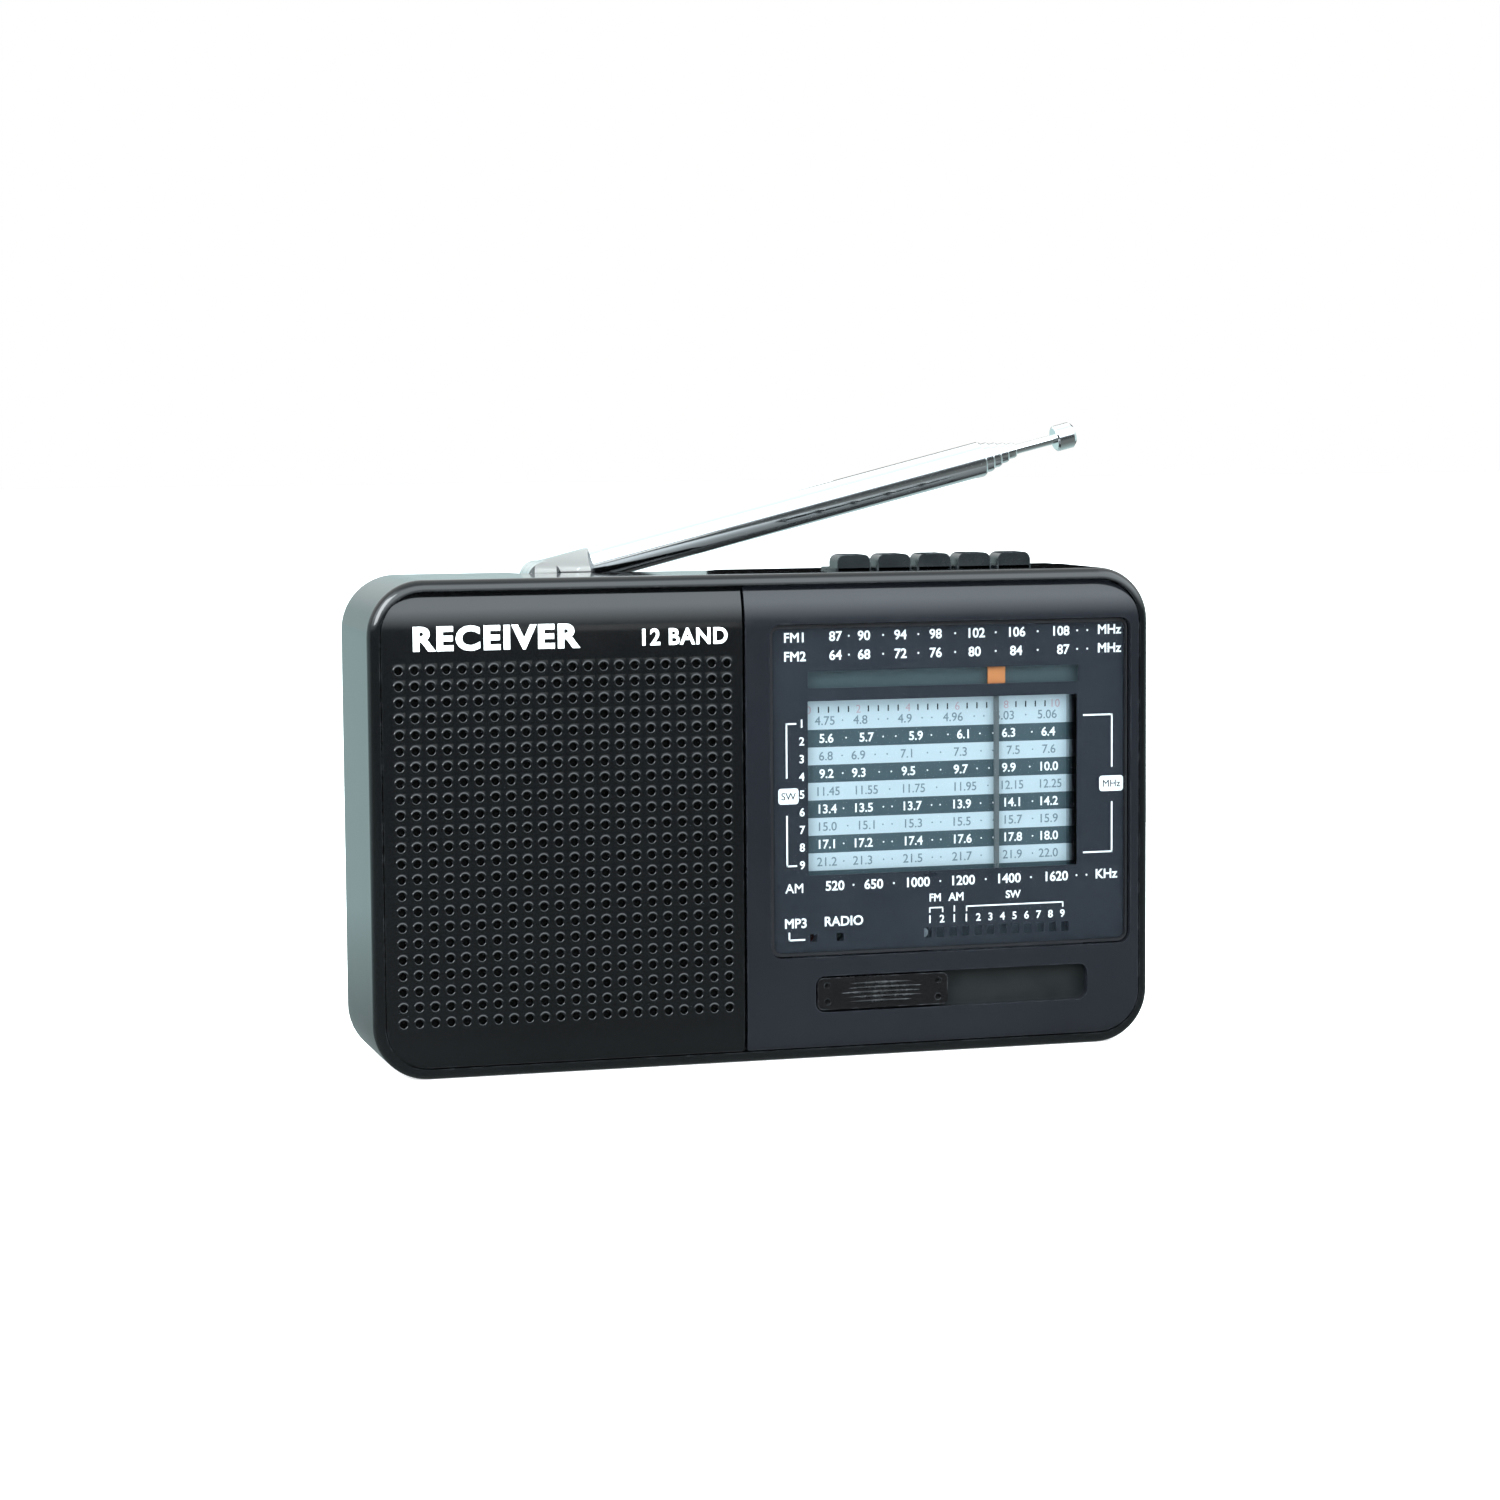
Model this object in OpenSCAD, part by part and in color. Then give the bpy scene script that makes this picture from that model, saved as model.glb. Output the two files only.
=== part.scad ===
// Pocket shortwave receiver: a glossy case with a perforated speaker grille, a tuning dial
// behind a clear lens, a band slider, five keys on top and a telescopic aerial.
// X runs to the right as seen from the front, Y to the back, Z up. The origin is the
// centre of the base, on the surface that the receiver stands on.

/* [Case] */
// Width of the case
body_w = 132; // [130:0.5:136]
// Height of the case
body_h = 80; // [79.6:0.1:81]
// Depth of the case, front to back
body_d = 30; // [29.6:0.1:31]
// Radius of the four outer corners, seen from the front
corner_r = 9; // [8:0.5:10]
// Radius of the front edge of the case
front_r = 1.8; // [1.2:0.1:2]
// Radius of the back edge of the case
back_r = 5; // [4:0.5:5.5]
// Thickness of the case's side walls
wall = 1.8; // [1.6:0.1:2]
// Thickness of the back wall
back_wall = 2.4; // [2.2:0.1:2.6]
// Distance from the front face to the parting line
parting = 2.5; // [2.4:0.1:2.8]

/* [Grille] */
// Spacing of the grille's holes
grille_pitch = 2.564; // [2.4:0.002:2.566]
// Diameter of the grille's holes
grille_hole_d = 1.1; // [1:0.1:1.6]
// Number of columns of holes
grille_columns = 22; // [10:1:22]
// Number of rows of holes
grille_rows = 23; // [10:1:23]
// Left edge of the seam between the grille panel and the dial panel
seam_x = -4.85; // [-5:0.05:-4.6]
// Width of that seam
seam_w = 0.5; // [0.3:0.1:0.6]

/* [Dial] */
// Centre of the lens across the case
lens_x = 31.2; // [31:0.1:31.4]
// Centre of the lens above the base
lens_z = 44.3; // [44:0.1:44.5]
// Width of the lens
lens_w = 62.4; // [61:0.1:62.6]
// Height of the lens
lens_h = 54.4; // [53:0.1:54.6]
// Place of the tuning needle across the case, at rest
needle_x = 39.5; // [30:0.5:42]
// Place of the tuning needle at the low end of the dial
needle_low_x = 8; // [8:0.5:9]
// Place of the tuning needle at the high end of the dial
needle_high_x = 51; // [49:0.5:51]

/* [Controls] */
// Radius of the tuning wheel
tuning_r = 15; // [14.8:0.1:15]
// Radius of the volume wheel
volume_r = 9; // [8.5:0.1:9]
// How far both wheels stand out of the case
wheel_proud = 1.6; // [1:0.1:1.8]
// Number of ribs on the tuning wheel
tuning_ribs = 48; // [24:1:60]
// Number of ribs on the volume wheel
volume_ribs = 30; // [20:1:36]
// Number of bands that the slider selects
band_count = 12; // [6:1:12]
// Width of one key
key_w = 6.2; // [5.8:0.1:6.3]
// Spacing of the keys
key_pitch = 7.02; // [7:0.01:7.1]
// How far the keys stand out of the case
key_proud = 2.6; // [1.5:0.1:3]
// Travel of the keys
key_travel = 0.5; // [0.3:0.1:0.6]

/* [Aerial] */
// Place of the aerial's pivot across the case
aerial_x = -33; // [-34:0.5:-32]
// Height of the aerial's pivot above the base
aerial_z = 79; // [78.9:0.1:79.2]
// Tilt of the aerial above the horizontal, at rest
aerial_tilt = 13.8; // [10:0.1:20]
// Radius of the outermost aerial tube
aerial_r = 3; // [2.9:0.1:3]
// Distance from the pivot to the mouth of the outermost tube
aerial_mouth = 79.7; // [76:0.1:80]

/* [Hidden] */
$fn = 48;
eps = 0.01;

// Case and its layers, front to back
front_y = -body_d / 2;
back_y = body_d / 2;
half_w = body_w / 2;
part_y = front_y + parting;
pocket_y = front_y + 2.2;
ledge_t = 1.2;
ledge_y = pocket_y + ledge_t;
lip_gap = 0.1;
lip_t = 1.2;
lip_depth = 2.4;
inner_back_y = back_y - back_wall;
panel_gap = 0.15;
panel_r = corner_r - front_r - panel_gap;
panel_low_x = -half_w + front_r + panel_gap;
panel_high_x = half_w - front_r - panel_gap;
panel_low_z = front_r + panel_gap;
panel_high_z = body_h - front_r - panel_gap;
roll_r = 8.5;
roll_drop = 1.5;

// Case screws and their posts
post_x = half_w - corner_r;
post_low_z = corner_r;
post_high_z = body_h - corner_r;
post_r = 3;
post_split_y = 4;
screw_r = 1.25;
screw_head_r = 2.3;
screw_head_t = 1.4;
counterbore_r = 2.7;
counterbore_y = back_y - 4.4;

// Grille, dust cloth and loudspeaker
grille_low_x = -61.3;
grille_high_z = 65.7;
grille_plate_t = 1.2;
speaker_x = grille_low_x + (grille_columns - 1) * grille_pitch / 2;
speaker_z = grille_high_z - (grille_rows - 1) * grille_pitch / 2;
speaker_r = 25;
speaker_flange_t = 1.2;
speaker_screw_ring = 28;
magnet_r = 12;
magnet_y = -3.4;
magnet_back_y = 4.2;

// Lens, scale, needle and cord
lens_t = 1;
lens_top_y = front_y + 0.35;
lens_r = 1.7;
lens_gap = 0.2;
lens_ledge = 1.2;
scale_y = -12.2;
scale_t = 0.6;
tray_y = scale_y + scale_t;
tray_t = 1.2;
dial_low_x = 2.6;
dial_high_x = 60.2;
needle_y = -13.15;
needle_t = 0.45;
rail_z = 67.2;
rail_y = -7;
rail_r = 1;
rail_low_x = needle_low_x - 6.8;
rail_high_x = needle_high_x + 4;
ear_t = 1.4;
running = 0.05;
cord_r = 0.3;
cord_y = 1.5;
cord_steps = 40;
drum_r = 10.9;
wheel_y = 2.4;
wheel_t = 2.2;
tuning_x = half_w + wheel_proud - tuning_r;
tuning_z = 52;
pulley_x = 4.5;
pulley_r = 2.4;
pulley_z = tuning_z + drum_r - pulley_r;
volume_x = half_w + wheel_proud - volume_r;
volume_z = 26.5;
shaft_r = 2;

// Boards
board_y = -2;
board_t = 1.4;
board_low_x = -6.4;
board_high_x = 63;
board_low_z = 3.4;
board_high_z = 64.4;
board_posts = [[-2.6, 10], [-2.6, 60], [60.6, 14.4]];
socket_board_y = 5.2;
socket_board_t = 1;
socket_y = 8.6;
earphone_z = 62;
jack_r = 1.8;
jack_depth = 14;
usb_z = 44;
card_z = 21;

// Band slider
slot_low_x = 7.3;
slot_high_x = 54.9;
slot_z = 10.7;
slot_h = 6;
slot_floor_y = -13.3;
slider_w = 22.6;
slider_gap = 0.35;
slider_x = slot_low_x + slider_gap + slider_w / 2;
band_travel = slot_high_x - slot_low_x - 2 * slider_gap - slider_w;
stem_w = 3;
stem_h = 1.6;
pointer_z = 20.4;
pointer_x = 26.9;

// Keys
key_first_x = 16.6;
key_low_y = -6.5;
key_high_y = 0.5;
key_top_r = 1.6;
key_board_z = 70;
key_board_t = 1.2;
key_board_low_x = key_first_x - 5.6;
key_board_high_x = key_first_x + 4 * key_pitch + 5.6;

// Ferrite rod
ferrite_y = -5;
ferrite_z = 70.6;
ferrite_r = 3.8;

// Aerial
aerial_y = 8;
well_w = 9.6;
well_z = aerial_z - 4.5;
well_high_x = aerial_x + 26;
notch_z = aerial_z - 3.3;
groove_w = 7;
groove_high_x = aerial_x + aerial_mouth + 3.3;
tip_groove_w = 6;
tip_groove_z = aerial_z - 2.8;
trough_wall = 1.6;
trough_z = well_z - trough_wall;
swivel_r = 4.4;
swivel_t = 1.3;
tongue_t = 3;
tongue_gap = 0.08;
tongue_r = 2.9;
pin_r = 1;
crimp_r = 0.7;
tube_start = 10.6;
tube_radii = [aerial_r, 2.5, 2.1, 1.7, 1.3, 0.8];
tube_mouths = [aerial_mouth, aerial_mouth + 1.6, aerial_mouth + 3.1, aerial_mouth + 4.6, aerial_mouth + 6.2];
tube_lengths = [aerial_mouth - tube_start, 62, 61, 60, 59];
rod_start = 33;
rod_end = aerial_mouth + 13.6;
tip_r = 2.2;
tip_h = 3.5;

// Battery compartment in the back
battery_low_x = -52;
battery_w = 53;
battery_low_z = 10.5;
battery_h = 34;
battery_t = 5.6;
bay_gap = 0.5;
bay_floor_y = 6.6;
bay_wall = 1.2;
door_t = 1.5;
door_edge = 1.4;
vent_pitch = 5;
vent_low_z = 52;
vent_high_z = 64;

// Solids placed by their corners or by an axis
module block(low, high) {
    translate(low) cube([high[0] - low[0], high[1] - low[1], high[2] - low[2]]);
}

module disc_y(x, z, r, y0, y1) {
    translate([x, y1, z]) rotate([90, 0, 0]) cylinder(r = r, h = y1 - y0);
}

module disc_z(x, y, r, z0, z1) {
    translate([x, y, z0]) cylinder(r = r, h = z1 - z0);
}

module disc_x(y, z, r, x0, x1) {
    translate([x0, y, z]) rotate([0, 90, 0]) cylinder(r = r, h = x1 - x0);
}

// A flat outline in X and Z, made thick along Y
module slab(y0, y1) {
    translate([0, y1, 0]) rotate([90, 0, 0]) linear_extrude(y1 - y0) children();
}

module round_rect(x0, z0, x1, z1, r) {
    translate([x0 + r, z0]) square([x1 - x0 - 2 * r, z1 - z0]);
    translate([x0, z0 + r]) square([x1 - x0, z1 - z0 - 2 * r]);
    for (x = [x0 + r, x1 - r], z = [z0 + r, z1 - r]) translate([x, z]) circle(r = r);
}

// Section through the case's depth, its two front corners and two back corners rounded
module depth_section(y0, y1, half, rf, rb) {
    translate([y0 + rf, -half]) square([y1 - y0 - rf - rb, 2 * half]);
    if (rf > 0) {
        translate([y0, rf - half]) square([rf, 2 * (half - rf)]);
        intersection() {
            for (s = [-1, 1]) translate([y0 + rf, s * (half - rf)]) circle(r = rf);
            translate([y0, -half]) square([rf, 2 * half]);
        }
    }
    if (rb > 0) {
        translate([y1 - rb, rb - half]) square([rb, 2 * (half - rb)]);
        for (s = [-1, 1]) translate([y1 - rb, s * (half - rb)]) circle(r = rb);
    }
}

// The case's outer form between two depths, inset all round
module case_form(inset, y0, y1, rf, rb) {
    w = body_w - 2 * inset;
    h = body_h - 2 * inset;
    r = corner_r - inset;
    translate([r - w / 2, 0, body_h / 2]) rotate([90, 0, 90])
        linear_extrude(w - 2 * r) depth_section(y0, y1, h / 2, rf, rb);
    translate([0, 0, inset + r]) linear_extrude(h - 2 * r)
        rotate(90) depth_section(y0, y1, w / 2, rf, rb);
    for (x = [r - w / 2, w / 2 - r], z = [inset + r, inset + h - r])
        translate([x, 0, z]) rotate([-90, 0, 0]) rotate_extrude() intersection() {
            rotate(90) depth_section(y0, y1, r, rf, rb);
            translate([0, y0 - 1]) square([r + 1, y1 - y0 + 2]);
        }
}

// Screw with a pan head and a cross recess: the head's seat is at y, the shank runs to the front
module screw_y(x, z, y, length, r, head_r, head_t) {
    difference() {
        union() {
            disc_y(x, z, r, y - length, y);
            disc_y(x, z, head_r, y, y + head_t);
        }
        for (a = [0, 90]) translate([x, y + head_t, z]) rotate([0, a, 0])
            cube([head_r * 1.1, head_t, head_r * 0.28], center = true);
    }
}

// ---------------------------------------------------------------- Front of the case

module front_frame() {
    color("#0c0d0e") difference() {
        union() {
            difference() {
                case_form(0, front_y, part_y, front_r, 0);
                slab(front_y - 1, pocket_y)
                    round_rect(-half_w + front_r, front_r, half_w - front_r, body_h - front_r,
                        corner_r - front_r);
            }
            slab(pocket_y, ledge_y) round_rect(
                -half_w + wall + lip_gap, wall + lip_gap, half_w - wall - lip_gap,
                body_h - wall - lip_gap, corner_r - wall - lip_gap);
            frame_lip();
            for (x = [-post_x, post_x], z = [post_low_z, post_high_z])
                disc_y(x, z, post_r, pocket_y, post_split_y);
            for (p = board_posts) disc_y(p[0], p[1], 2.2, pocket_y, board_y);
            for (a = [90, 210, 330]) disc_y(speaker_screw_x(a), speaker_screw_z(a), 2.4,
                pocket_y, ledge_y + speaker_flange_t);
            block([key_board_low_x, pocket_y, key_board_z - 0.7],
                [key_board_high_x, key_low_y - 1.2, key_board_z]);
        }
        disc_y(speaker_x, speaker_z, speaker_r - 2.5, front_y, ledge_y + 1);
        slab(front_y, ledge_y + 1) {
            round_rect(dial_low_x, 5.6, post_x - post_r - 1.2, 69.6, 1);
            round_rect(dial_low_x, 16, dial_high_x, 66, 1);
        }
        for (x = [-post_x, post_x], z = [post_low_z, post_high_z])
            disc_y(x, z, screw_r, ledge_y, post_split_y + 1);
        for (p = board_posts) disc_y(p[0], p[1], 1, ledge_y, board_y + 1);
        for (a = [90, 210, 330]) disc_y(speaker_screw_x(a), speaker_screw_z(a), 1,
            pocket_y + 0.6, ledge_y + 2);
    }
}

// Lip that reaches inside the rear shell
module frame_lip() {
    inset = wall + lip_gap;
    difference() {
        slab(pocket_y, part_y + lip_depth) round_rect(-half_w + inset, inset,
            half_w - inset, body_h - inset, corner_r - inset);
        slab(pocket_y - 1, part_y + lip_depth + 1) round_rect(-half_w + inset + lip_t,
            inset + lip_t, half_w - inset - lip_t, body_h - inset - lip_t,
            corner_r - inset - lip_t);
    }
}

function speaker_screw_x(a) = speaker_x + speaker_screw_ring * cos(a);
function speaker_screw_z(a) = speaker_z + speaker_screw_ring * sin(a);

// Cuts a panel's top edge back to a long rolled shoulder
module shoulder_cut(x0, x1) {
    centre_y = front_y + roll_r;
    run = sqrt(roll_r * roll_r - (roll_r - roll_drop) * (roll_r - roll_drop));
    low_z = panel_high_z - run;
    difference() {
        block([x0 - 1, front_y - 1, low_z], [x1 + 1, front_y + roll_drop, panel_high_z + 1]);
        disc_x(centre_y, low_z, roll_r, x0 - 2, x1 + 2);
    }
}

module grille_panel() {
    x1 = seam_x;
    color("#1c1c1e") difference() {
        slab(front_y, pocket_y) difference() {
            intersection() {
                round_rect(panel_low_x, panel_low_z, panel_high_x, panel_high_z, panel_r);
                translate([panel_low_x - 1, 0]) square([x1 - panel_low_x + 1, body_h]);
            }
            for (i = [0:grille_columns - 1], j = [0:grille_rows - 1])
                translate([grille_low_x + i * grille_pitch, grille_high_z - j * grille_pitch])
                    circle(d = grille_hole_d, $fn = 24);
        }
        slab(front_y + grille_plate_t, pocket_y + 1) round_rect(grille_low_x - 1.4,
            grille_high_z - (grille_rows - 1) * grille_pitch - 1.4,
            grille_low_x + (grille_columns - 1) * grille_pitch + 1, grille_high_z + 1.4, 1);
        shoulder_cut(panel_low_x, x1);
    }
}

module dust_cloth() {
    color("#101012") slab(front_y + grille_plate_t + 0.1, front_y + grille_plate_t + 0.5)
        round_rect(grille_low_x - 1.2,
            grille_high_z - (grille_rows - 1) * grille_pitch - 1.2,
            grille_low_x + (grille_columns - 1) * grille_pitch + 0.8, grille_high_z + 1.2, 1);
}

// ---------------------------------------------------------------- Dial

module lens_outline(grow) {
    round_rect(lens_x - lens_w / 2 - grow, lens_z - lens_h / 2 - grow,
        lens_x + lens_w / 2 + grow, lens_z + lens_h / 2 + grow, lens_r + grow);
}

module dial_bezel() {
    x0 = seam_x + seam_w;
    slot_r = 1.6;
    slot_low_z = slot_z - slot_h / 2;
    slot_high_z = slot_z + slot_h / 2;
    color("#303236") difference() {
        slab(front_y, pocket_y) intersection() {
            round_rect(panel_low_x, panel_low_z, panel_high_x, panel_high_z, panel_r);
            translate([x0, 0]) square([panel_high_x - x0 + 1, body_h]);
        }
        slab(front_y - 1, lens_top_y + lens_t) lens_outline(lens_gap);
        slab(front_y - 1, pocket_y + 1) lens_outline(-lens_ledge);
        slab(front_y - 1, slot_floor_y)
            round_rect(slot_low_x, slot_low_z, slot_high_x, slot_high_z, slot_r);
        block([slider_x - stem_w / 2 - 0.3, slot_floor_y - 1, slot_z - stem_h / 2 - 0.2],
            [slider_x + band_travel + stem_w / 2 + 0.3, pocket_y + 1, slot_z + stem_h / 2 + 0.2]);
        shoulder_cut(x0, panel_high_x);
    }
}

module dial_lens() {
    color([0.25, 0.28, 0.32, 0.5]) slab(lens_top_y, lens_top_y + lens_t) lens_outline(0);
}

module scale_plate() {
    color("#b3c6cf") slab(scale_y, scale_y + scale_t) round_rect(4.2, 28.6, 55.4, 65.2, 0.6);
}

module dial_tray() {
    color("#20242a") difference() {
        union() {
            slab(tray_y, tray_y + tray_t) round_rect(-0.2, 24.4, 62.2, 65.4, 1);
            for (z = [28, 56]) disc_y(1.6, z, 1.6, tray_y + tray_t, board_y - 0.2);
            rail_ears();
            translate([0, cord_y, 0]) pulley_arm();
        }
        disc_x(rail_y, rail_z, rail_r, rail_low_x, rail_high_x);
    }
}

// Ears at both ends of the needle's guide rail
module rail_ears() {
    for (x = [rail_low_x + 0.6, rail_high_x - 0.2 - ear_t]) {
        block([x, tray_y, 62.4], [x + ear_t, rail_y + 1.8, 65.4]);
        block([x, rail_y - 1.8, 65.3], [x + ear_t, rail_y + 1.8, rail_z + 1.5]);
    }
}

// Arm above the board that carries the cord's left pulley
module pulley_arm() {
    block([pulley_x - 7, rail_y + 1.7 - cord_y, 64.7], [pulley_x - 1.1, -2.2, 66.4]);
    block([pulley_x - 7, -2.4, 64.7], [pulley_x - 3.2, 2.2, 66.4]);
    block([pulley_x - 7, 1.4, pulley_z - 1.6], [pulley_x - 1.1, 2.2, 64.8]);
    block([pulley_x - 1.2, 1.4, pulley_z - 1.6], [pulley_x + 1.6, 2.2, pulley_z + 1.6]);
    disc_y(pulley_x, pulley_z, 0.9, -1.1, 1.5);
}

module pointer_rail() {
    color("silver") disc_x(rail_y, rail_z, rail_r - eps, rail_low_x + eps, rail_high_x - eps);
}

module cord_pulley() {
    groove_r = pulley_r - cord_r - running;
    color("#e6e6e0") translate([pulley_x, cord_y, pulley_z]) rotate([90, 0, 0]) difference() {
        union() {
            cylinder(r = groove_r, h = 1.8, center = true);
            for (s = [-1, 1]) translate([0, 0, s * 0.7]) cylinder(r = pulley_r + 0.4, h = 0.5, center = true);
        }
        cylinder(r = 0.9 + running, h = 4, center = true);
    }
}

// Angle at which the cord leaves both wheels on its slanting lower run
function lower_run_angle() =
    let (dx = tuning_x - pulley_x, dz = tuning_z - pulley_z, d = sqrt(dx * dx + dz * dz))
        atan2(dz, dx) - acos((pulley_r - drum_r) / d);

function arc_points(x, z, r, from, to) = [for (i = [0:cord_steps])
    let (a = from + (to - from) * i / cord_steps) [x + r * cos(a), z + r * sin(a)]];

// The closed loop round both wheels, moved outwards by grow
function loop_points(grow) = concat(
    arc_points(pulley_x, pulley_z, pulley_r + grow, 90, 360 + lower_run_angle()),
    arc_points(tuning_x, tuning_z, drum_r + grow, lower_run_angle(), 90));

module dial_cord() {
    color("#d8d4c4") slab(cord_y - cord_r, cord_y + cord_r) difference() {
        polygon(loop_points(cord_r));
        polygon(loop_points(-cord_r));
    }
}

// Slides on the rail, grips the cord behind it and holds the needle in front
module pointer_carriage() {
    x0 = needle_x - 2;
    x1 = needle_x + 2;
    cord_z = pulley_z + pulley_r;
    slot = cord_r + running;
    color("#c08050") difference() {
        union() {
            block([x0, rail_y - 2, rail_z - 1.4], [x1, rail_y + 2, rail_z + 1.8]);
            block([needle_x - 1.2, needle_y + needle_t, rail_z - 1.2],
                [needle_x + 1.2, rail_y - 1.9, rail_z + 0.4]);
            block([needle_x - 1.5, needle_y, 61], [needle_x + 1.5, needle_y + needle_t, rail_z + 0.4]);
            block([needle_x - 1.2, rail_y + 1.9, rail_z - 0.8],
                [needle_x + 1.2, cord_y + 0.6, rail_z + 0.4]);
            block([needle_x - 1.2, cord_y - 0.6, cord_z - 0.2],
                [needle_x + 1.2, cord_y + 0.6, rail_z - 0.7]);
        }
        disc_x(rail_y, rail_z, rail_r + running, x0 - 1, x1 + 1);
        block([x0 - 1, cord_y - slot, cord_z - 1], [x1 + 1, cord_y + slot, cord_z + slot]);
    }
}

module tuning_needle() {
    color("#707878") block([needle_x - 0.4, needle_y, 29.2], [needle_x + 0.4, needle_y + needle_t, 60.99]);
}

// ---------------------------------------------------------------- Tuning and volume

// A thumbwheel with a ribbed rim, lying in the XZ plane
module ribbed_wheel(x, z, r, y0, y1, ribs) {
    rib = 0.35;
    disc_y(x, z, r - rib, y0, y1);
    for (i = [0:ribs - 1]) translate([x, y0, z]) rotate([0, i * 360 / ribs, 0])
        translate([r - 2 * rib, 0, -rib]) cube([2 * rib, y1 - y0, 2 * rib]);
}

module tuning_wheel() {
    color("#202226") difference() {
        union() {
            ribbed_wheel(tuning_x, tuning_z, tuning_r, wheel_y, wheel_y + wheel_t, tuning_ribs);
            disc_y(tuning_x, tuning_z, drum_r - cord_r - running, wheel_y - 1.9, wheel_y);
            disc_y(tuning_x, tuning_z, drum_r + 0.4, wheel_y - 2.1, wheel_y - 1.65);
        }
        disc_y(tuning_x, tuning_z, shaft_r, wheel_y - 3, wheel_y + wheel_t + 1);
        disc_y(tuning_x, tuning_z, tuning_r - 3.2, wheel_y + 1.2, wheel_y + wheel_t + 1);
    }
}

module tuning_shaft() {
    color("silver") {
        disc_y(tuning_x, tuning_z, shaft_r - eps, board_y - 4, wheel_y + 1.2);
        screw_y(tuning_x, tuning_z, wheel_y + 1.2, 0.1, 1.2, 3, 0.8);
    }
}

module tuning_capacitor() {
    half = 10;
    color("#d9d4c0") difference() {
        block([tuning_x - half, board_y - 7.4, tuning_z - half],
            [tuning_x + half, board_y, tuning_z + half]);
        disc_y(tuning_x, tuning_z, shaft_r + running, board_y - 4.2, board_y + 1);
        for (sx = [-1, 1], sz = [-1, 1])
            disc_y(tuning_x + sx * 8, tuning_z + sz * 8, 0.9, board_y - 8, board_y - 6);
    }
}

module volume_control() {
    color("#3a3c40") difference() {
        union() {
            disc_y(volume_x, volume_z, 5, board_y - 5.6, board_y);
            block([volume_x - 8.4, board_y - 3.4, volume_z - 3.4],
                [volume_x - 3, board_y, volume_z + 3.4]);
        }
        disc_y(volume_x, volume_z, shaft_r - 0.4 + running, board_y - 3.2, board_y + 1);
    }
}

module volume_wheel() {
    color("#202226") difference() {
        ribbed_wheel(volume_x, volume_z, volume_r, wheel_y - 1.2, wheel_y + wheel_t - 0.4, volume_ribs);
        disc_y(volume_x, volume_z, shaft_r - 0.4, wheel_y - 3, wheel_y + wheel_t + 1);
        disc_y(volume_x, volume_z, volume_r - 2.6, wheel_y + 0.8, wheel_y + wheel_t + 1);
    }
}

module volume_shaft() {
    color("silver") {
        disc_y(volume_x, volume_z, shaft_r - 0.4 - eps, board_y - 3, wheel_y + 0.8);
        screw_y(volume_x, volume_z, wheel_y + 0.8, 0.1, 1, 2.4, 0.8);
    }
}

// ---------------------------------------------------------------- Band selection

module band_switch() {
    rail_low_x = slider_x - stem_w / 2 - 0.4;
    rail_high_x = slider_x + band_travel + stem_w / 2 + 0.4;
    contact_pitch = band_travel / (band_count - 1);
    color("#a8acb0") {
        difference() {
            block([rail_low_x - 5, -11, slot_z - 4], [rail_high_x + 5, board_y, slot_z + 4]);
            block([rail_low_x, -12, slot_z - stem_h / 2 - 0.3],
                [rail_high_x, -7.6, slot_z + stem_h / 2 + 0.3]);
        }
        for (i = [0:band_count - 1]) block(
            [slider_x + i * contact_pitch - 0.4, board_y - 1.2, slot_z + 3.9],
            [slider_x + i * contact_pitch + 0.4, board_y, slot_z + 5.2]);
    }
}

module band_slider() {
    x0 = slider_x - slider_w / 2;
    x1 = slider_x + slider_w / 2;
    half = slot_h / 2 - slider_gap;
    top_y = front_y + 0.1;
    under_y = slot_floor_y - 0.1;
    rib_w = 11;
    color("#242428") difference() {
        union() {
            slab(top_y, under_y) round_rect(x0, slot_z - half, x1, slot_z + half, 1.2);
            for (k = [-1.5:1.5]) block(
                [slider_x - rib_w / 2, top_y - 0.25, slot_z + k * 1.25 - 0.25],
                [slider_x + rib_w / 2, top_y + 0.2, slot_z + k * 1.25 + 0.25]);
            block([slider_x - stem_w / 2, under_y - 0.2, slot_z - stem_h / 2],
                [slider_x + stem_w / 2, -8.2, slot_z + stem_h / 2]);
        }
        for (s = [-1, 1], k = [-1, 1])
            disc_y(slider_x + s * 9.6, slot_z + k * 1.35, 0.6, top_y - 1, top_y + 0.3);
    }
}

// Strip behind the bezel that shows the chosen band in a row of small windows
module band_pointer() {
    strip_y = pocket_y + 0.15;
    color("#f2f2ee") difference() {
        union() {
            block([slider_x - 2.6, strip_y, slot_z - 2.2], [slider_x + 2.6, strip_y + 0.7, slot_z + 4]);
            block([slider_x - 2.6, strip_y, slot_z + 3], [pointer_x + 0.6, strip_y + 0.7, slot_z + 5]);
            block([pointer_x - 0.6, strip_y, slot_z + 4], [pointer_x + 0.6, strip_y + 0.7, pointer_z + 1]);
        }
        block([slider_x - stem_w / 2, strip_y - 1, slot_z - stem_h / 2],
            [slider_x + stem_w / 2, strip_y + 2, slot_z + stem_h / 2]);
    }
}

// ---------------------------------------------------------------- Boards and sockets

module main_board() {
    color("#1f5a3a") difference() {
        block([board_low_x, board_y, board_low_z], [board_high_x, board_y + board_t, board_high_z]);
        for (p = board_posts) disc_y(p[0], p[1], 1.1, board_y - 1, board_y + board_t + 1);
        disc_y(tuning_x, tuning_z, shaft_r + 1.2, board_y - 1, board_y + board_t + 1);
        disc_y(volume_x, volume_z, shaft_r + 0.8, board_y - 1, board_y + board_t + 1);
        block([post_x - 3.5, board_y - 1, board_low_z - 1],
            [board_high_x + 1, board_y + board_t + 1, post_low_z + 3.3]);
    }
}

module board_screws() {
    color("silver") for (p = board_posts)
        screw_y(p[0], p[1], board_y + board_t, 6, 0.95, 1.9, 1);
}

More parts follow.
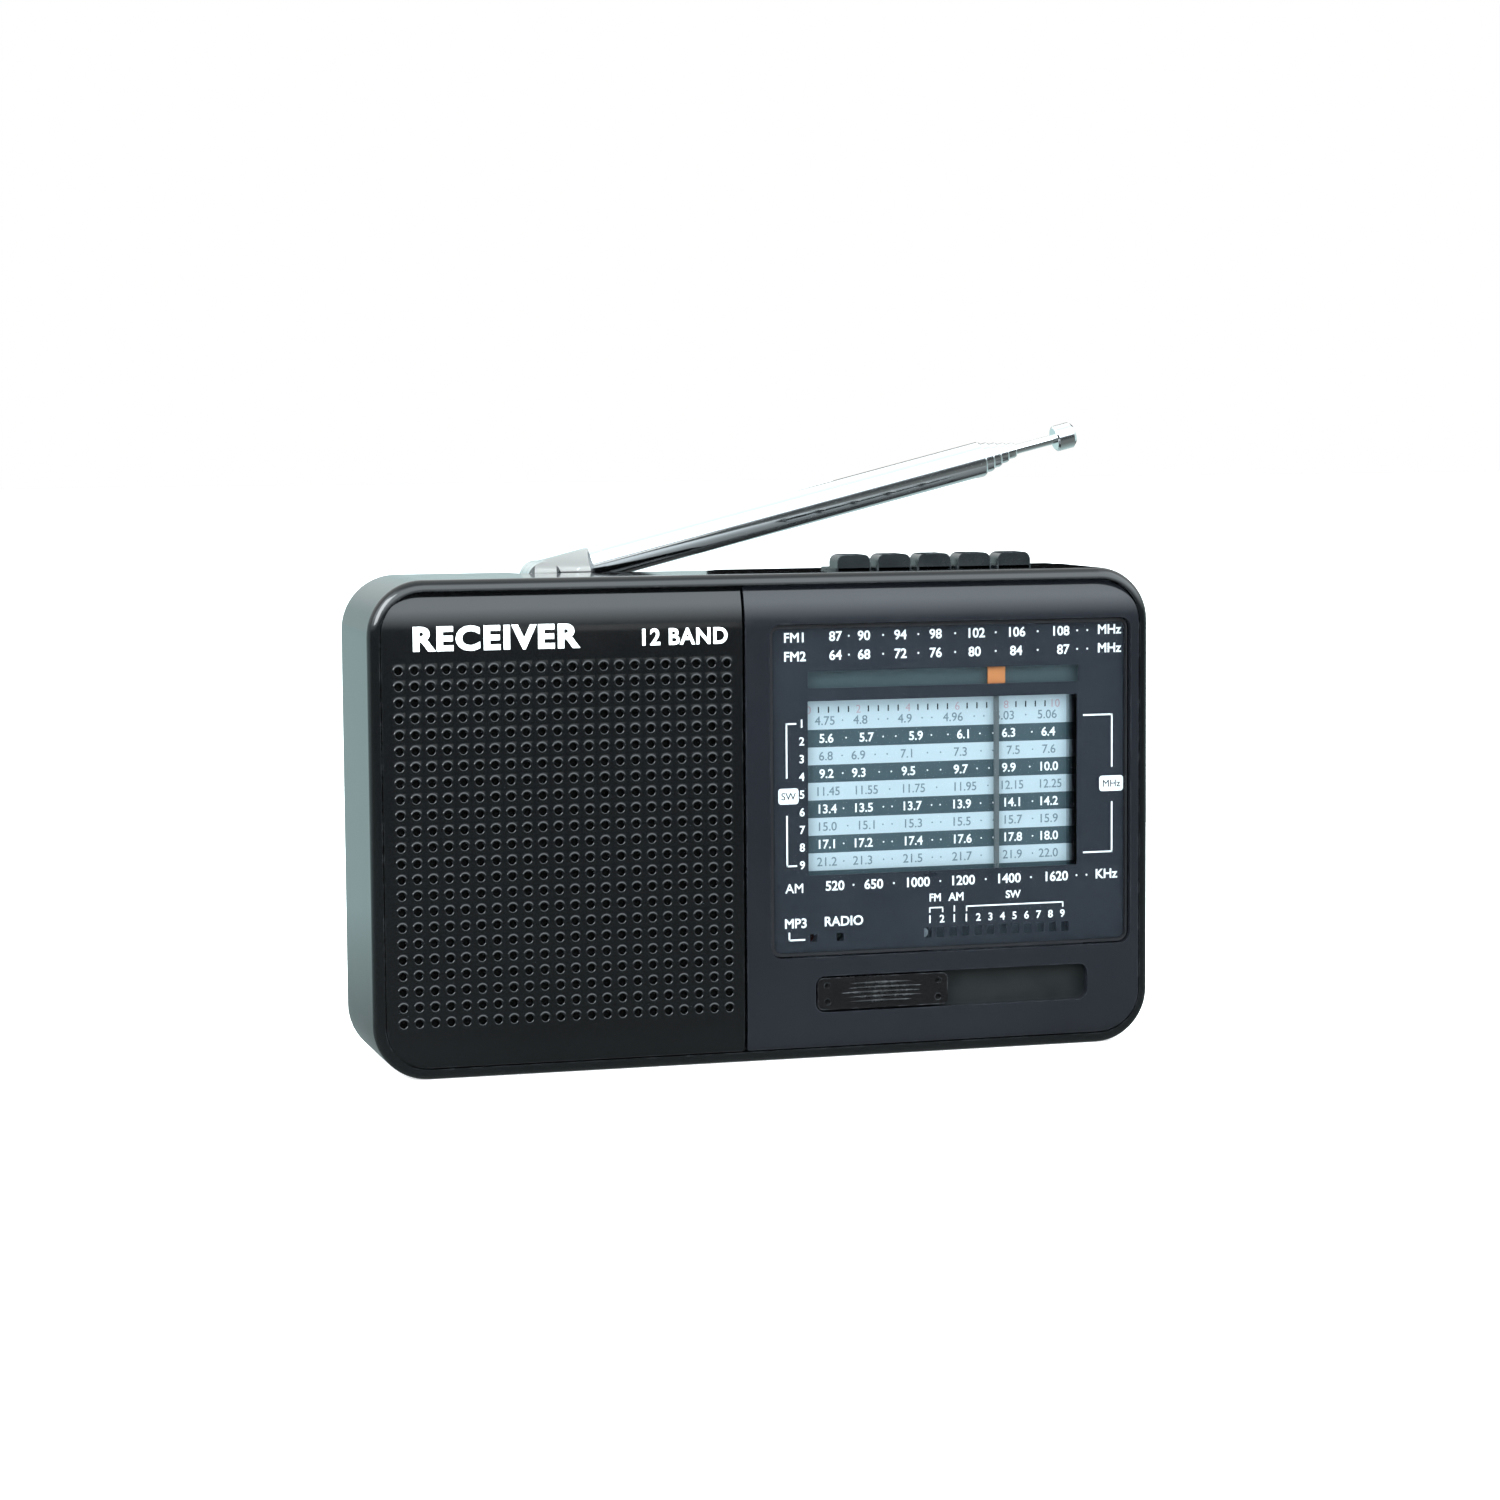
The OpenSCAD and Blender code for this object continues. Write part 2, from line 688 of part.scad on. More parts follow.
module key_board() {
    color("#1f5a3a") block([key_board_low_x, key_low_y - 2, key_board_z],
        [key_board_high_x, key_high_y + 2, key_board_z + key_board_t]);
}

module tact_switches() {
    base_z = key_board_z + key_board_t;
    y = (key_low_y + key_high_y) / 2;
    color("#2a2c30") for (i = [0:4]) {
        x = key_first_x + i * key_pitch;
        block([x - 3, y - 3, base_z], [x + 3, y + 3, base_z + 3]);
        disc_z(x, y, 1.6, base_z + 3, base_z + 3.6);
    }
}

// One key: a loaf-shaped cap, a flange that keeps it in, and a stem
module top_key(i) {
    x = key_first_x + i * key_pitch;
    y = (key_low_y + key_high_y) / 2;
    inner_z = body_h - wall;
    top_z = body_h + key_proud;
    stem_z = key_board_z + key_board_t + 3.7 + key_travel;
    color("#2f383b") {
        translate([x - key_w / 2, 0, 0]) rotate([90, 0, 90]) linear_extrude(key_w) {
            translate([key_low_y, inner_z - 0.3])
                square([key_high_y - key_low_y, top_z - key_top_r - inner_z + 0.3]);
            translate([key_low_y + key_top_r, inner_z - 0.3])
                square([key_high_y - key_low_y - 2 * key_top_r, top_z - inner_z + 0.3]);
            for (c = [key_low_y + key_top_r, key_high_y - key_top_r])
                translate([c, top_z - key_top_r]) circle(r = key_top_r);
        }
        block([x - key_w / 2, key_low_y - 0.9, inner_z - 1.2],
            [x + key_w / 2, key_high_y + 0.9, inner_z - 0.2]);
        block([x - 1.5, y - 1.5, stem_z], [x + 1.5, y + 1.5, inner_z - 1.1]);
    }
}

module lamp(x, tint) {
    z = 20.2;
    color(tint) {
        disc_y(x, z, 1.1, -12.6, -8.6);
        disc_y(x, z, 1.35, -9.2, -8.4);
        for (s = [-0.6, 0.6]) disc_y(x + s, z, 0.22, -8.5, board_y);
    }
}

module ferrite_rod() {
    color("#3c3a38") disc_x(ferrite_y, ferrite_z, ferrite_r, -50, -9);
}

module aerial_coil() {
    color("#b5773a") difference() {
        disc_x(ferrite_y, ferrite_z, ferrite_r + 1.1, -48.5, -39);
        disc_x(ferrite_y, ferrite_z, ferrite_r + 0.1, -49.5, -38);
    }
}

module ferrite_clips() {
    color("#e6e6e0") for (x = [-30, -13]) difference() {
        union() {
            disc_x(ferrite_y, ferrite_z, ferrite_r + 1.1, x, x + 2.4);
            block([x, ledge_y + 0.1, ferrite_z - 2], [x + 2.4, ferrite_y - 3.4, ferrite_z + 2]);
        }
        disc_x(ferrite_y, ferrite_z, ferrite_r + 0.1, x - 1, x + 4);
    }
}

module socket_board() {
    color("#1f5a3a") difference() {
        block([46, socket_board_y, 13.2], [62.8, socket_board_y + socket_board_t, 67]);
        disc_y(tuning_x, tuning_z, 4, socket_board_y - 1, socket_board_y + 2);
    }
}

module earphone_socket() {
    back = socket_board_y + socket_board_t;
    body_end = half_w - wall - 1.6;
    color("#1a1b1e") difference() {
        union() {
            block([body_end - 11.6, back, earphone_z - 2.8],
                [body_end, socket_y + 2.6, earphone_z + 2.8]);
            disc_x(socket_y, earphone_z, jack_r + 0.6, body_end - 0.1, half_w - 0.1);
        }
        disc_x(socket_y, earphone_z, jack_r, half_w - jack_depth, half_w + 1);
    }
}

module usb_socket() {
    z = usb_z;
    back = socket_board_y + socket_board_t;
    color("silver") difference() {
        block([half_w - 6.4, back, z - 3.9], [half_w - 0.4, back + 3, z + 3.9]);
        block([half_w - 5.4, back + 0.4, z - 3.5], [half_w + 1, back + 2.6, z + 3.5]);
    }
    color("#1a1b1e") block([half_w - 5.5, back + 1.2, z - 2.6], [half_w - 1.4, back + 1.8, z + 2.6]);
}

module card_socket() {
    z = card_z;
    back = socket_board_y + socket_board_t;
    color("silver") difference() {
        block([half_w - 15.4, back, z - 6.6], [half_w - wall - 0.2, back + 2.4, z + 6.6]);
        block([half_w - 14.8, back + 0.5, z - 5.8], [half_w, back + 1.7, z + 5.8]);
    }
}

// ---------------------------------------------------------------- Loudspeaker

module speaker_frame() {
    y0 = ledge_y;
    y1 = y0 + speaker_flange_t;
    color("#9a9da0") difference() {
        translate([speaker_x, 0, speaker_z]) rotate([-90, 0, 0]) rotate_extrude($fn = 96)
            polygon([[speaker_r - 3.2, y0], [speaker_r, y0], [speaker_r, y1], [speaker_r - 2.4, y1],
                [magnet_r + 2.4, magnet_y], [4, magnet_y], [4, magnet_y - 0.8],
                [magnet_r + 1.8, magnet_y - 0.8], [speaker_r - 3.2, y1 - 0.8]]);
        for (a = [0:60:300]) translate([speaker_x, 0, speaker_z]) rotate([0, a + 30, 0])
            translate([15.6, y1 + 1, -2.4]) cube([4.6, 4.4, 4.8]);
    }
}

module speaker_cone() {
    y0 = ledge_y;
    color("#26272a") translate([speaker_x, 0, speaker_z]) rotate([-90, 0, 0])
        rotate_extrude($fn = 96) polygon([[0, y0 + 3.4], [5.2, y0 + 4.4], [speaker_r - 7, y0 + 0.9],
            [speaker_r - 5.4, y0 + 0.2], [speaker_r - 3.4, y0 + 0.2], [speaker_r - 3.4, y0 + 0.5],
            [speaker_r - 5.2, y0 + 0.7], [speaker_r - 6.6, y0 + 1.5], [5.4, y0 + 5],
            [3.8, y0 + 7.4], [3.2, y0 + 7.4], [3.2, y0 + 5], [0, y0 + 4]]);
}

module speaker_magnet() {
    color("#55585c") {
        disc_y(speaker_x, speaker_z, magnet_r, magnet_y, magnet_back_y - 1.4);
        disc_y(speaker_x, speaker_z, magnet_r + 0.8, magnet_back_y - 1.4, magnet_back_y);
    }
}

module speaker_screws() {
    color("silver") for (a = [90, 210, 330]) screw_y(speaker_screw_x(a), speaker_screw_z(a),
        ledge_y + speaker_flange_t, 1.6, 0.95, 3.7, 1);
}

// ---------------------------------------------------------------- Back of the case

module rear_shell() {
    color("#0e0f10") difference() {
        union() {
            difference() {
                case_form(0, part_y, back_y, 0, back_r);
                case_form(wall, part_y - 1, inner_back_y, 0, back_r - wall);
            }
            aerial_trough();
            battery_bay();
            intersection() {
                case_form(wall / 2, part_y, back_y - 1, 0, back_r - wall / 2);
                for (x = [-post_x, post_x], z = [post_low_z, post_high_z])
                    disc_y(x, z, post_r + 0.8, post_split_y + 0.1, back_y - 1);
            }
        }
        aerial_cuts();
        battery_cuts();
        wheel_slots();
        socket_holes();
        key_slot();
        for (x = [-post_x, post_x], z = [post_low_z, post_high_z]) {
            disc_y(x, z, screw_r + 0.2, post_split_y - 1, back_y + 1);
            disc_y(x, z, counterbore_r, counterbore_y, back_y + 1);
        }
        sound_vents();
    }
}

// Thickening under the aerial's well, its notch and its groove
module aerial_trough() {
    well_half = well_w / 2 + trough_wall;
    groove_half = groove_w / 2 + trough_wall;
    top_z = body_h - wall + eps;
    end_y = inner_back_y + 0.2;
    block([aerial_x - well_half, aerial_y - well_half, trough_z],
        [aerial_x + well_half, end_y, top_z]);
    block([aerial_x, aerial_y - well_half, notch_z - trough_wall],
        [well_high_x + well_half, end_y, top_z]);
    intersection() {
        block([well_high_x, aerial_y - groove_half, notch_z - trough_wall],
            [half_w - wall + eps, end_y, top_z]);
        case_form(wall / 2, part_y, inner_back_y + 0.3, 0, 0);
    }
}

// The well under the fork, the notch behind it that lets the aerial swing to the back, and
// the groove that the folded aerial lies in
module aerial_cuts() {
    half = well_w / 2;
    disc_z(aerial_x, aerial_y, half, well_z, body_h + 1);
    disc_z(well_high_x, aerial_y, half, notch_z, body_h + 1);
    block([aerial_x, aerial_y - half, notch_z], [well_high_x, back_y + 1, body_h + 1]);
    block([aerial_x - half, aerial_y, notch_z], [well_high_x + half, back_y + 1, body_h + 1]);
    block([well_high_x, aerial_y - groove_w / 2, notch_z],
        [groove_high_x, aerial_y + groove_w / 2, body_h + 1]);
    block([groove_high_x - 1, aerial_y - tip_groove_w / 2, tip_groove_z],
        [half_w + 1, aerial_y + tip_groove_w / 2, body_h + 1]);
    disc_z(aerial_x, aerial_y, 1.8 + running, trough_z - 1, well_z + 1);
}

module battery_bay() {
    gap = bay_gap + bay_wall;
    block([battery_low_x - gap, bay_floor_y - bay_wall, battery_low_z - gap],
        [battery_low_x + battery_w + gap, inner_back_y + eps, battery_low_z + battery_h + gap]);
}

module battery_cuts() {
    block([battery_low_x - bay_gap, bay_floor_y, battery_low_z - bay_gap],
        [battery_low_x + battery_w + bay_gap, back_y + 1, battery_low_z + battery_h + bay_gap]);
    slab(back_y - door_t - 0.1, back_y + 1) door_outline(0.15);
}

module door_outline(grow) {
    g = bay_gap + door_edge + grow;
    round_rect(battery_low_x - g, battery_low_z - g, battery_low_x + battery_w + g,
        battery_low_z + battery_h + g, 2);
}

// Half the height of a slot that a wheel needs where it passes through the side wall
function slot_half(x, r) = sqrt(r * r - pow(half_w - wall - x, 2)) + 0.4;

module wheel_slots() {
    tuning_half = slot_half(tuning_x, tuning_r);
    volume_half = slot_half(volume_x, volume_r);
    block([half_w - wall - 1, wheel_y - 0.4, tuning_z - tuning_half],
        [half_w + 1, wheel_y + wheel_t + 0.4, tuning_z + tuning_half]);
    block([half_w - wall - 1, wheel_y - 1.6, volume_z - volume_half],
        [half_w + 1, wheel_y + wheel_t, volume_z + volume_half]);
}

module socket_holes() {
    back = socket_board_y + socket_board_t;
    disc_x(socket_y, earphone_z, jack_r + 0.8, half_w - wall - 1, half_w + 1);
    block([half_w - wall - 1, back - 0.2, usb_z - 4.1], [half_w + 1, back + 3.2, usb_z + 4.1]);
    block([half_w - wall - 1, back + 0.2, card_z - 6.2], [half_w + 1, back + 2, card_z + 6.2]);
}

module key_slot() {
    block([key_first_x - key_w / 2 - 0.3, key_low_y - 0.3, body_h - wall - 1],
        [key_first_x + 4 * key_pitch + key_w / 2 + 0.3, key_high_y + 0.3, body_h + 1]);
}

// Rows of short slots in the back wall, behind the loudspeaker
module sound_vents() {
    for (i = [-3:3]) block([speaker_x + i * vent_pitch - 0.7, inner_back_y - 1, vent_low_z],
        [speaker_x + i * vent_pitch + 0.7, back_y + 1, vent_high_z]);
}

module battery_door() {
    color("#0e0f10") difference() {
        slab(back_y - door_t, back_y) door_outline(0);
        for (i = [0:3]) block([battery_low_x + 4 + i * 1.6, back_y - 0.5, battery_low_z + 12],
            [battery_low_x + 4.8 + i * 1.6, back_y + 1, battery_low_z + battery_h - 12]);
    }
}

module battery_pack() {
    y0 = bay_floor_y + 0.1;
    color("#3566a8") block([battery_low_x, y0, battery_low_z],
        [battery_low_x + battery_w, y0 + battery_t, battery_low_z + battery_h]);
}

// Three springy blades at the compartment's right end
module battery_contacts() {
    x = battery_low_x + battery_w + 0.05;
    color("gold") for (k = [-1, 0, 1]) block(
        [x, bay_floor_y + 1.4, battery_low_z + battery_h / 2 + k * 6 - 1.2],
        [x + 0.4, bay_floor_y + 4.4, battery_low_z + battery_h / 2 + k * 6 + 1.2]);
}

module case_screws() {
    color("silver") for (x = [-post_x, post_x], z = [post_low_z, post_high_z])
        screw_y(x, z, counterbore_y, 13, screw_r - eps, screw_head_r, screw_head_t);
}

// ---------------------------------------------------------------- Aerial

// Turning fork: a disc in the well, two ears and a stem through the well's floor
module aerial_swivel() {
    ear_low = tongue_t / 2 + tongue_gap;
    ear_high = swivel_r - 0.4;
    floor_z = well_z + 0.1;
    color("#c8ccd0") difference() {
        union() {
            disc_z(aerial_x, aerial_y, swivel_r, floor_z, floor_z + swivel_t);
            disc_z(aerial_x, aerial_y, 1.8, trough_z - 1.2, floor_z + 0.5);
            intersection() {
                disc_z(aerial_x, aerial_y, swivel_r, floor_z, aerial_z + tongue_r);
                union() {
                    disc_y(aerial_x, aerial_z, tongue_r, aerial_y - ear_high, aerial_y + ear_high);
                    block([aerial_x - tongue_r, aerial_y - ear_high, floor_z],
                        [aerial_x + tongue_r, aerial_y + ear_high, aerial_z]);
                }
            }
        }
        block([aerial_x - 6, aerial_y - ear_low, floor_z + swivel_t],
            [aerial_x + 6, aerial_y + ear_low, aerial_z + 4]);
        disc_y(aerial_x, aerial_z, pin_r, aerial_y - 6, aerial_y + 6);
        disc_z(aerial_x, aerial_y, 0.9, trough_z - 2, floor_z + 0.4);
    }
}

module hinge_pin() {
    ear = swivel_r - 0.7;
    color("#e8eaec") disc_y(aerial_x, aerial_z, pin_r - eps, aerial_y - ear, aerial_y + ear);
}

// Screw and washer that hold the fork from inside the case
module aerial_screw() {
    z = trough_z - 1.3;
    color("silver") {
        disc_z(aerial_x, aerial_y, 3, z - 0.5, z);
        disc_z(aerial_x, aerial_y, 0.9 - eps, z - 0.1, well_z + 0.3);
        disc_z(aerial_x, aerial_y, 1.8, z - 1.4, z - 0.4);
    }
}

// Places a shape, drawn along +X from the pivot, at the aerial's resting tilt
module along_aerial() {
    translate([aerial_x, aerial_y, aerial_z]) rotate([0, -aerial_tilt, 0]) children();
}

// Tube with a narrowed mouth and a flared inner end that the next tube's mouth stops
module aerial_tube(k) {
    r = tube_radii[k];
    bore = tube_radii[k + 1] + 0.15;
    mouth = tube_mouths[k];
    start = mouth - tube_lengths[k];
    along_aerial() rotate([0, 90, 0]) rotate_extrude() {
        polygon([[bore, start], [r + (k > 0 ? 0.1 : 0), start], [r + (k > 0 ? 0.1 : 0), start + 2],
            [r, start + 2], [r, mouth - 0.3], [r - 0.2, mouth], [bore - 0.1, mouth],
            [bore - 0.1, mouth - 1.2], [bore, mouth - 1.2]]);
    }
}

module aerial_tube_1() {
    color("#d8dadc") {
        aerial_tube(0);
        along_aerial() difference() {
            union() {
                translate([tube_start - 2, 0, 0]) rotate([0, 90, 0]) cylinder(r = tongue_r, h = 2.2);
                translate([tube_start, 0, 0]) rotate([0, 90, 0]) cylinder(r = tube_radii[1] + 0.2, h = 1.2);
                translate([0, tongue_t / 2, 0]) rotate([90, 0, 0]) cylinder(r = tongue_r, h = tongue_t);
                translate([0, -tongue_t / 2, -tongue_r])
                    cube([tube_start - 1.9, tongue_t, 2 * tongue_r]);
            }
            translate([0, 5, 0]) rotate([90, 0, 0]) cylinder(r = pin_r + running, h = 10);
        }
        along_aerial() translate([6.6, tongue_t / 2 + 0.3, -0.6]) rotate([90, 0, 0])
            cylinder(r = crimp_r, h = tongue_t + 0.6);
    }
}

module aerial_tube_2() {
    color("#d8dadc") aerial_tube(1);
}

module aerial_tube_3() {
    color("#d8dadc") aerial_tube(2);
}

module aerial_tube_4() {
    color("#d8dadc") aerial_tube(3);
}

module aerial_tube_5() {
    color("#d8dadc") aerial_tube(4);
}

module aerial_rod() {
    color("#d8dadc") along_aerial() rotate([0, 90, 0]) rotate_extrude()
        polygon([[0, rod_start], [tube_radii[5] + 0.1, rod_start], [tube_radii[5] + 0.1, rod_start + 2],
            [tube_radii[5], rod_start + 2], [tube_radii[5], rod_end + 1.5], [0, rod_end + 1.5]]);
}

module aerial_tip() {
    color("#c8ccd0") along_aerial() rotate([0, 90, 0]) rotate_extrude()
        polygon([[tube_radii[5], rod_end], [tip_r - 0.3, rod_end], [tip_r, rod_end + 0.3],
            [tip_r, rod_end + tip_h - 0.5], [tip_r - 0.5, rod_end + tip_h], [0, rod_end + tip_h],
            [0, rod_end + 1.5], [tube_radii[5], rod_end + 1.5]]);
}

front_frame();
grille_panel();
dust_cloth();
dial_bezel();
dial_lens();
scale_plate();
dial_tray();
rear_shell();
battery_door();
battery_pack();
battery_contacts();
speaker_frame();
speaker_cone();
speaker_magnet();
speaker_screws();
main_board();
board_screws();
tuning_capacitor();
tuning_wheel();
tuning_shaft();
cord_pulley();
dial_cord();
pointer_rail();
pointer_carriage();
tuning_needle();
volume_control();
volume_wheel();
volume_shaft();
band_switch();
band_slider();
band_pointer();
key_board();
tact_switches();
top_key(0);  // play_key
top_key(1);  // back_key
top_key(2);  // next_key
top_key(3);  // mode_key
top_key(4);  // repeat_key
lamp(6.6, "#5a1c1c");  // mp3_lamp
lamp(11.4, "#1c4a26");  // radio_lamp
ferrite_rod();
ferrite_clips();
aerial_coil();
socket_board();
earphone_socket();
usb_socket();
card_socket();
aerial_swivel();
aerial_screw();
hinge_pin();
aerial_tube_1();
aerial_tube_2();
aerial_tube_3();
aerial_tube_4();
aerial_tube_5();
aerial_rod();
aerial_tip();
case_screws();
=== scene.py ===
"""Looks of the pocket shortwave receiver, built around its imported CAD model, in metres."""

import math

import bmesh
import bpy
from mathutils import Matrix, Vector


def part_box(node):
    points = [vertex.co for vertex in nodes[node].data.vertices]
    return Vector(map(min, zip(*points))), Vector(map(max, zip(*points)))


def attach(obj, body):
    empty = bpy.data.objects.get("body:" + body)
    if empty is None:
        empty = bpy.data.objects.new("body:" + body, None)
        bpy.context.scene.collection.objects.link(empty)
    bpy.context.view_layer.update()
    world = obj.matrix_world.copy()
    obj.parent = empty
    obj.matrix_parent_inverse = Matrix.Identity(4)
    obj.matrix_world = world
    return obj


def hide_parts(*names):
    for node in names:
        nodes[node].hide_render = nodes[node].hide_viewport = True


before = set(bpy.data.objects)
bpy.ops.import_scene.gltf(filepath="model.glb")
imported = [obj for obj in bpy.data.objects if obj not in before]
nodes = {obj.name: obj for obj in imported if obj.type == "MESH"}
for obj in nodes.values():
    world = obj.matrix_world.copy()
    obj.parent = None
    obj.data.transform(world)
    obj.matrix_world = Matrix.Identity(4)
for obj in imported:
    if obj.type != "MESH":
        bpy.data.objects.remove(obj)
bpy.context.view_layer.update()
MM = 0.001


# ---------------------------------------------------------------- Materials

def linear(colour):
    """A colour written as #rrggbb, in linear light."""
    parts = [int(colour[i:i + 2], 16) / 255 for i in (1, 3, 5)]
    return [c / 12.92 if c < 0.04045 else ((c + 0.055) / 1.055) ** 2.4 for c in parts] + [1]


def add(tree, kind, **settings):
    """Adds a shader node. Names of inputs set their values, and other names its properties."""
    made = tree.nodes.new("ShaderNode" + kind)
    for name, value in settings.items():
        socket = made.inputs.get(name.replace("_", " "))
        if socket is None:
            setattr(made, name, value)
        else:
            socket.default_value = value
    return made


def noise(tree, place, scale, detail=3, roughness=0.55):
    made = add(tree, "TexNoise", Scale=scale, Detail=detail, Roughness=roughness)
    tree.links.new(place, made.inputs["Vector"])
    return made.outputs["Fac"]


def spread(tree, value, low, high, from_low=0.3, from_high=0.7):
    """value from a noise, spread from low to high."""
    made = add(tree, "MapRange")
    for name, number in (("From Min", from_low), ("From Max", from_high),
                         ("To Min", low), ("To Max", high)):
        made.inputs[name].default_value = number
    tree.links.new(value, made.inputs["Value"])
    return made.outputs["Result"]


def blend_colours(tree, amount, first, second):
    made = add(tree, "Mix", data_type="RGBA")
    for socket, value in ((made.inputs["Factor"], amount), (made.inputs[6], first),
                          (made.inputs[7], second)):
        if isinstance(value, bpy.types.NodeSocket):
            tree.links.new(value, socket)
        else:
            socket.default_value = value
    return made.outputs[2]


def scaled(colour, factor):
    return [min(1, c * factor) for c in colour[:3]] + [1]


def arithmetic(tree, operation, first, second):
    made = add(tree, "Math", operation=operation)
    for socket, value in zip(made.inputs, (first, second)):
        if isinstance(value, bpy.types.NodeSocket):
            tree.links.new(value, socket)
        else:
            socket.default_value = value
    return made.outputs[0]


def edge_mask(tree, place, width):
    """1 on convex edges, broken up by a noise, and 0 elsewhere."""
    bevel = add(tree, "Bevel", Radius=width * MM, samples=4)
    shape = add(tree, "NewGeometry")
    dot = add(tree, "VectorMath", operation="DOT_PRODUCT")
    tree.links.new(bevel.outputs["Normal"], dot.inputs[0])
    tree.links.new(shape.outputs["Normal"], dot.inputs[1])
    edges = spread(tree, dot.outputs["Value"], 1, 0, 0.86, 0.985)
    broken = spread(tree, noise(tree, place, 420, 5, 0.7), 0, 1, 0.45, 0.68)
    return arithmetic(tree, "MULTIPLY", edges, broken)


def surface(name, colour, roughness, metallic=0, specular=0.5, coat=0, variation=0.12,
            uneven=0.35, patch=28, grain=0, grain_size=0.3, scratches=0, stretch=(1, 1, 1),
            wear=0, worn=None, wear_width=0.35, weave=0, sheen=0):
    """A Principled material: colour that varies over patches, uneven roughness with fine
    scratches, a moulded or brushed grain, and edges that have worn. Sizes are in mm."""
    material = bpy.data.materials.new(name)
    material.use_nodes = True
    tree = material.node_tree
    shader = tree.nodes["Principled BSDF"]
    shader.inputs["Metallic"].default_value = metallic
    shader.inputs["Specular IOR Level"].default_value = specular
    shader.inputs["Coat Weight"].default_value = coat
    shader.inputs["Coat Roughness"].default_value = 0.03
    shader.inputs["Sheen Weight"].default_value = sheen
    place = add(tree, "TexCoord").outputs["Object"]
    mapping = add(tree, "Mapping", Scale=stretch)
    tree.links.new(place, mapping.inputs["Vector"])
    run = mapping.outputs["Vector"]
    patches = spread(tree, noise(tree, place, 1000 / patch, 4), 0, 1)
    tone = blend_colours(tree, patches, scaled(colour, 1 - variation), scaled(colour, 1 + variation))
    rough = spread(tree, noise(tree, place, 5000 / patch, 6, 0.65),
                   roughness * (1 - uneven), min(1, roughness * (1 + uneven)))
    if scratches:
        lines = spread(tree, noise(tree, run, 900, 8, 0.8), 0, scratches, 0.5, 0.75)
        rough = arithmetic(tree, "ADD", rough, lines)
    if wear:
        mask = arithmetic(tree, "MULTIPLY", edge_mask(tree, place, wear_width), wear)
        tone = blend_colours(tree, mask, tone, worn or scaled(colour, 3))
        rough = arithmetic(tree, "ADD", rough, arithmetic(tree, "MULTIPLY", mask, 0.25))
    height = None
    if weave:
        across = [add(tree, "TexWave", Scale=1000 / weave / 6.28, bands_direction=way)
                  for way in ("X", "Z")]
        for wave in across:
            tree.links.new(place, wave.inputs["Vector"])
        height = arithmetic(tree, "MULTIPLY", *[wave.outputs["Fac"] for wave in across])
        tone = blend_colours(tree, height, scaled(colour, 0.4), tone)
    elif grain:
        height = noise(tree, run, 1000 / grain_size, 3, 0.6)
    if height:
        bump = add(tree, "Bump", Distance=(grain or weave / 3) * MM, Strength=0.6)
        tree.links.new(height, bump.inputs["Height"])
        tree.links.new(bump.outputs["Normal"], shader.inputs["Normal"])
    tree.links.new(tone, shader.inputs["Base Color"])
    tree.links.new(rough, shader.inputs["Roughness"])
    return material


MIRROR_HEAD_ON = 0.04


def clear(name, tint, roughness=0.03):
    """A thin clear moulding: what is behind it shows through, under reflections that grow as
    the face turns away, from MIRROR_HEAD_ON where it is seen head on."""
    material = bpy.data.materials.new(name)
    material.use_nodes = True
    tree = material.node_tree
    shader = tree.nodes["Principled BSDF"]
    shader.inputs["Base Color"].default_value = (0.01, 0.011, 0.012, 1)
    shader.inputs["Specular IOR Level"].default_value = 0.5
    place = add(tree, "TexCoord").outputs["Object"]
    smear = spread(tree, noise(tree, place, 60, 6, 0.7), roughness * 0.6, roughness * 2.2)
    tree.links.new(smear, shader.inputs["Roughness"])
    through = add(tree, "BsdfTransparent", Color=tint)
    facing = add(tree, "LayerWeight", Blend=0.5).outputs["Facing"]
    rise = arithmetic(tree, "POWER", facing, 5)
    mirror = arithmetic(tree, "ADD", arithmetic(tree, "MULTIPLY", rise, 0.9), MIRROR_HEAD_ON)
    mix = add(tree, "MixShader")
    tree.links.new(mirror, mix.inputs[0])
    tree.links.new(through.outputs[0], mix.inputs[1])
    tree.links.new(shader.outputs[0], mix.inputs[2])
    tree.links.new(mix.outputs[0], tree.nodes["Material Output"].inputs["Surface"])
    return material


CASE = surface("case_plastic", linear("#08090a"), 0.09, specular=0.38, coat=0.15,
               grain=0.004, grain_size=1.4, scratches=0.05, wear=0.25, worn=linear("#4a4d50"))
PANEL = surface("panel_plastic", linear("#08090a"), 0.12, specular=0.36, coat=0.15,
                grain=0.003, grain_size=1.2, scratches=0.05, wear=0.15, worn=linear("#55595c"))
BEZEL = surface("bezel_plastic", linear("#121418"), 0.15, specular=0.34, coat=0.12,
                grain=0.003, grain_size=1.2, scratches=0.05, wear=0.15, worn=linear("#60656a"))
CLOTH = surface("speaker_cloth", linear("#0a0a0b"), 0.9, specular=0.2, weave=0.35, sheen=0.2)
LENS = clear("lens_acrylic", (0.8, 0.815, 0.825, 1))
MASK = surface("lens_print", linear("#2b2f36"), 0.42, specular=0.3, variation=0.05, grain=0.002,
               grain_size=0.2)
WHITE_INK = surface("white_ink", linear("#f4fafa"), 0.5, specular=0.3, variation=0.03,
                    grain=0.003, grain_size=0.12)
# A see-through tinted layer for the painted shadow at the SW window's right edge.
PAINTED_SHADOW = clear("painted_window_shadow", (0.9, 0.91, 0.92, 1), roughness=0.2)
SMOKE = clear("smoked_window", (0.88, 0.9, 0.92, 1), roughness=0.2)
CARD_LIGHT = surface("card_light", linear("#b6c6cc"), 0.6, specular=0.3, variation=0.03,
                     grain=0.006, grain_size=0.15)
CARD_DARK = surface("card_dark", linear("#43545a"), 0.55, specular=0.3, variation=0.05,
                    grain=0.006, grain_size=0.15)
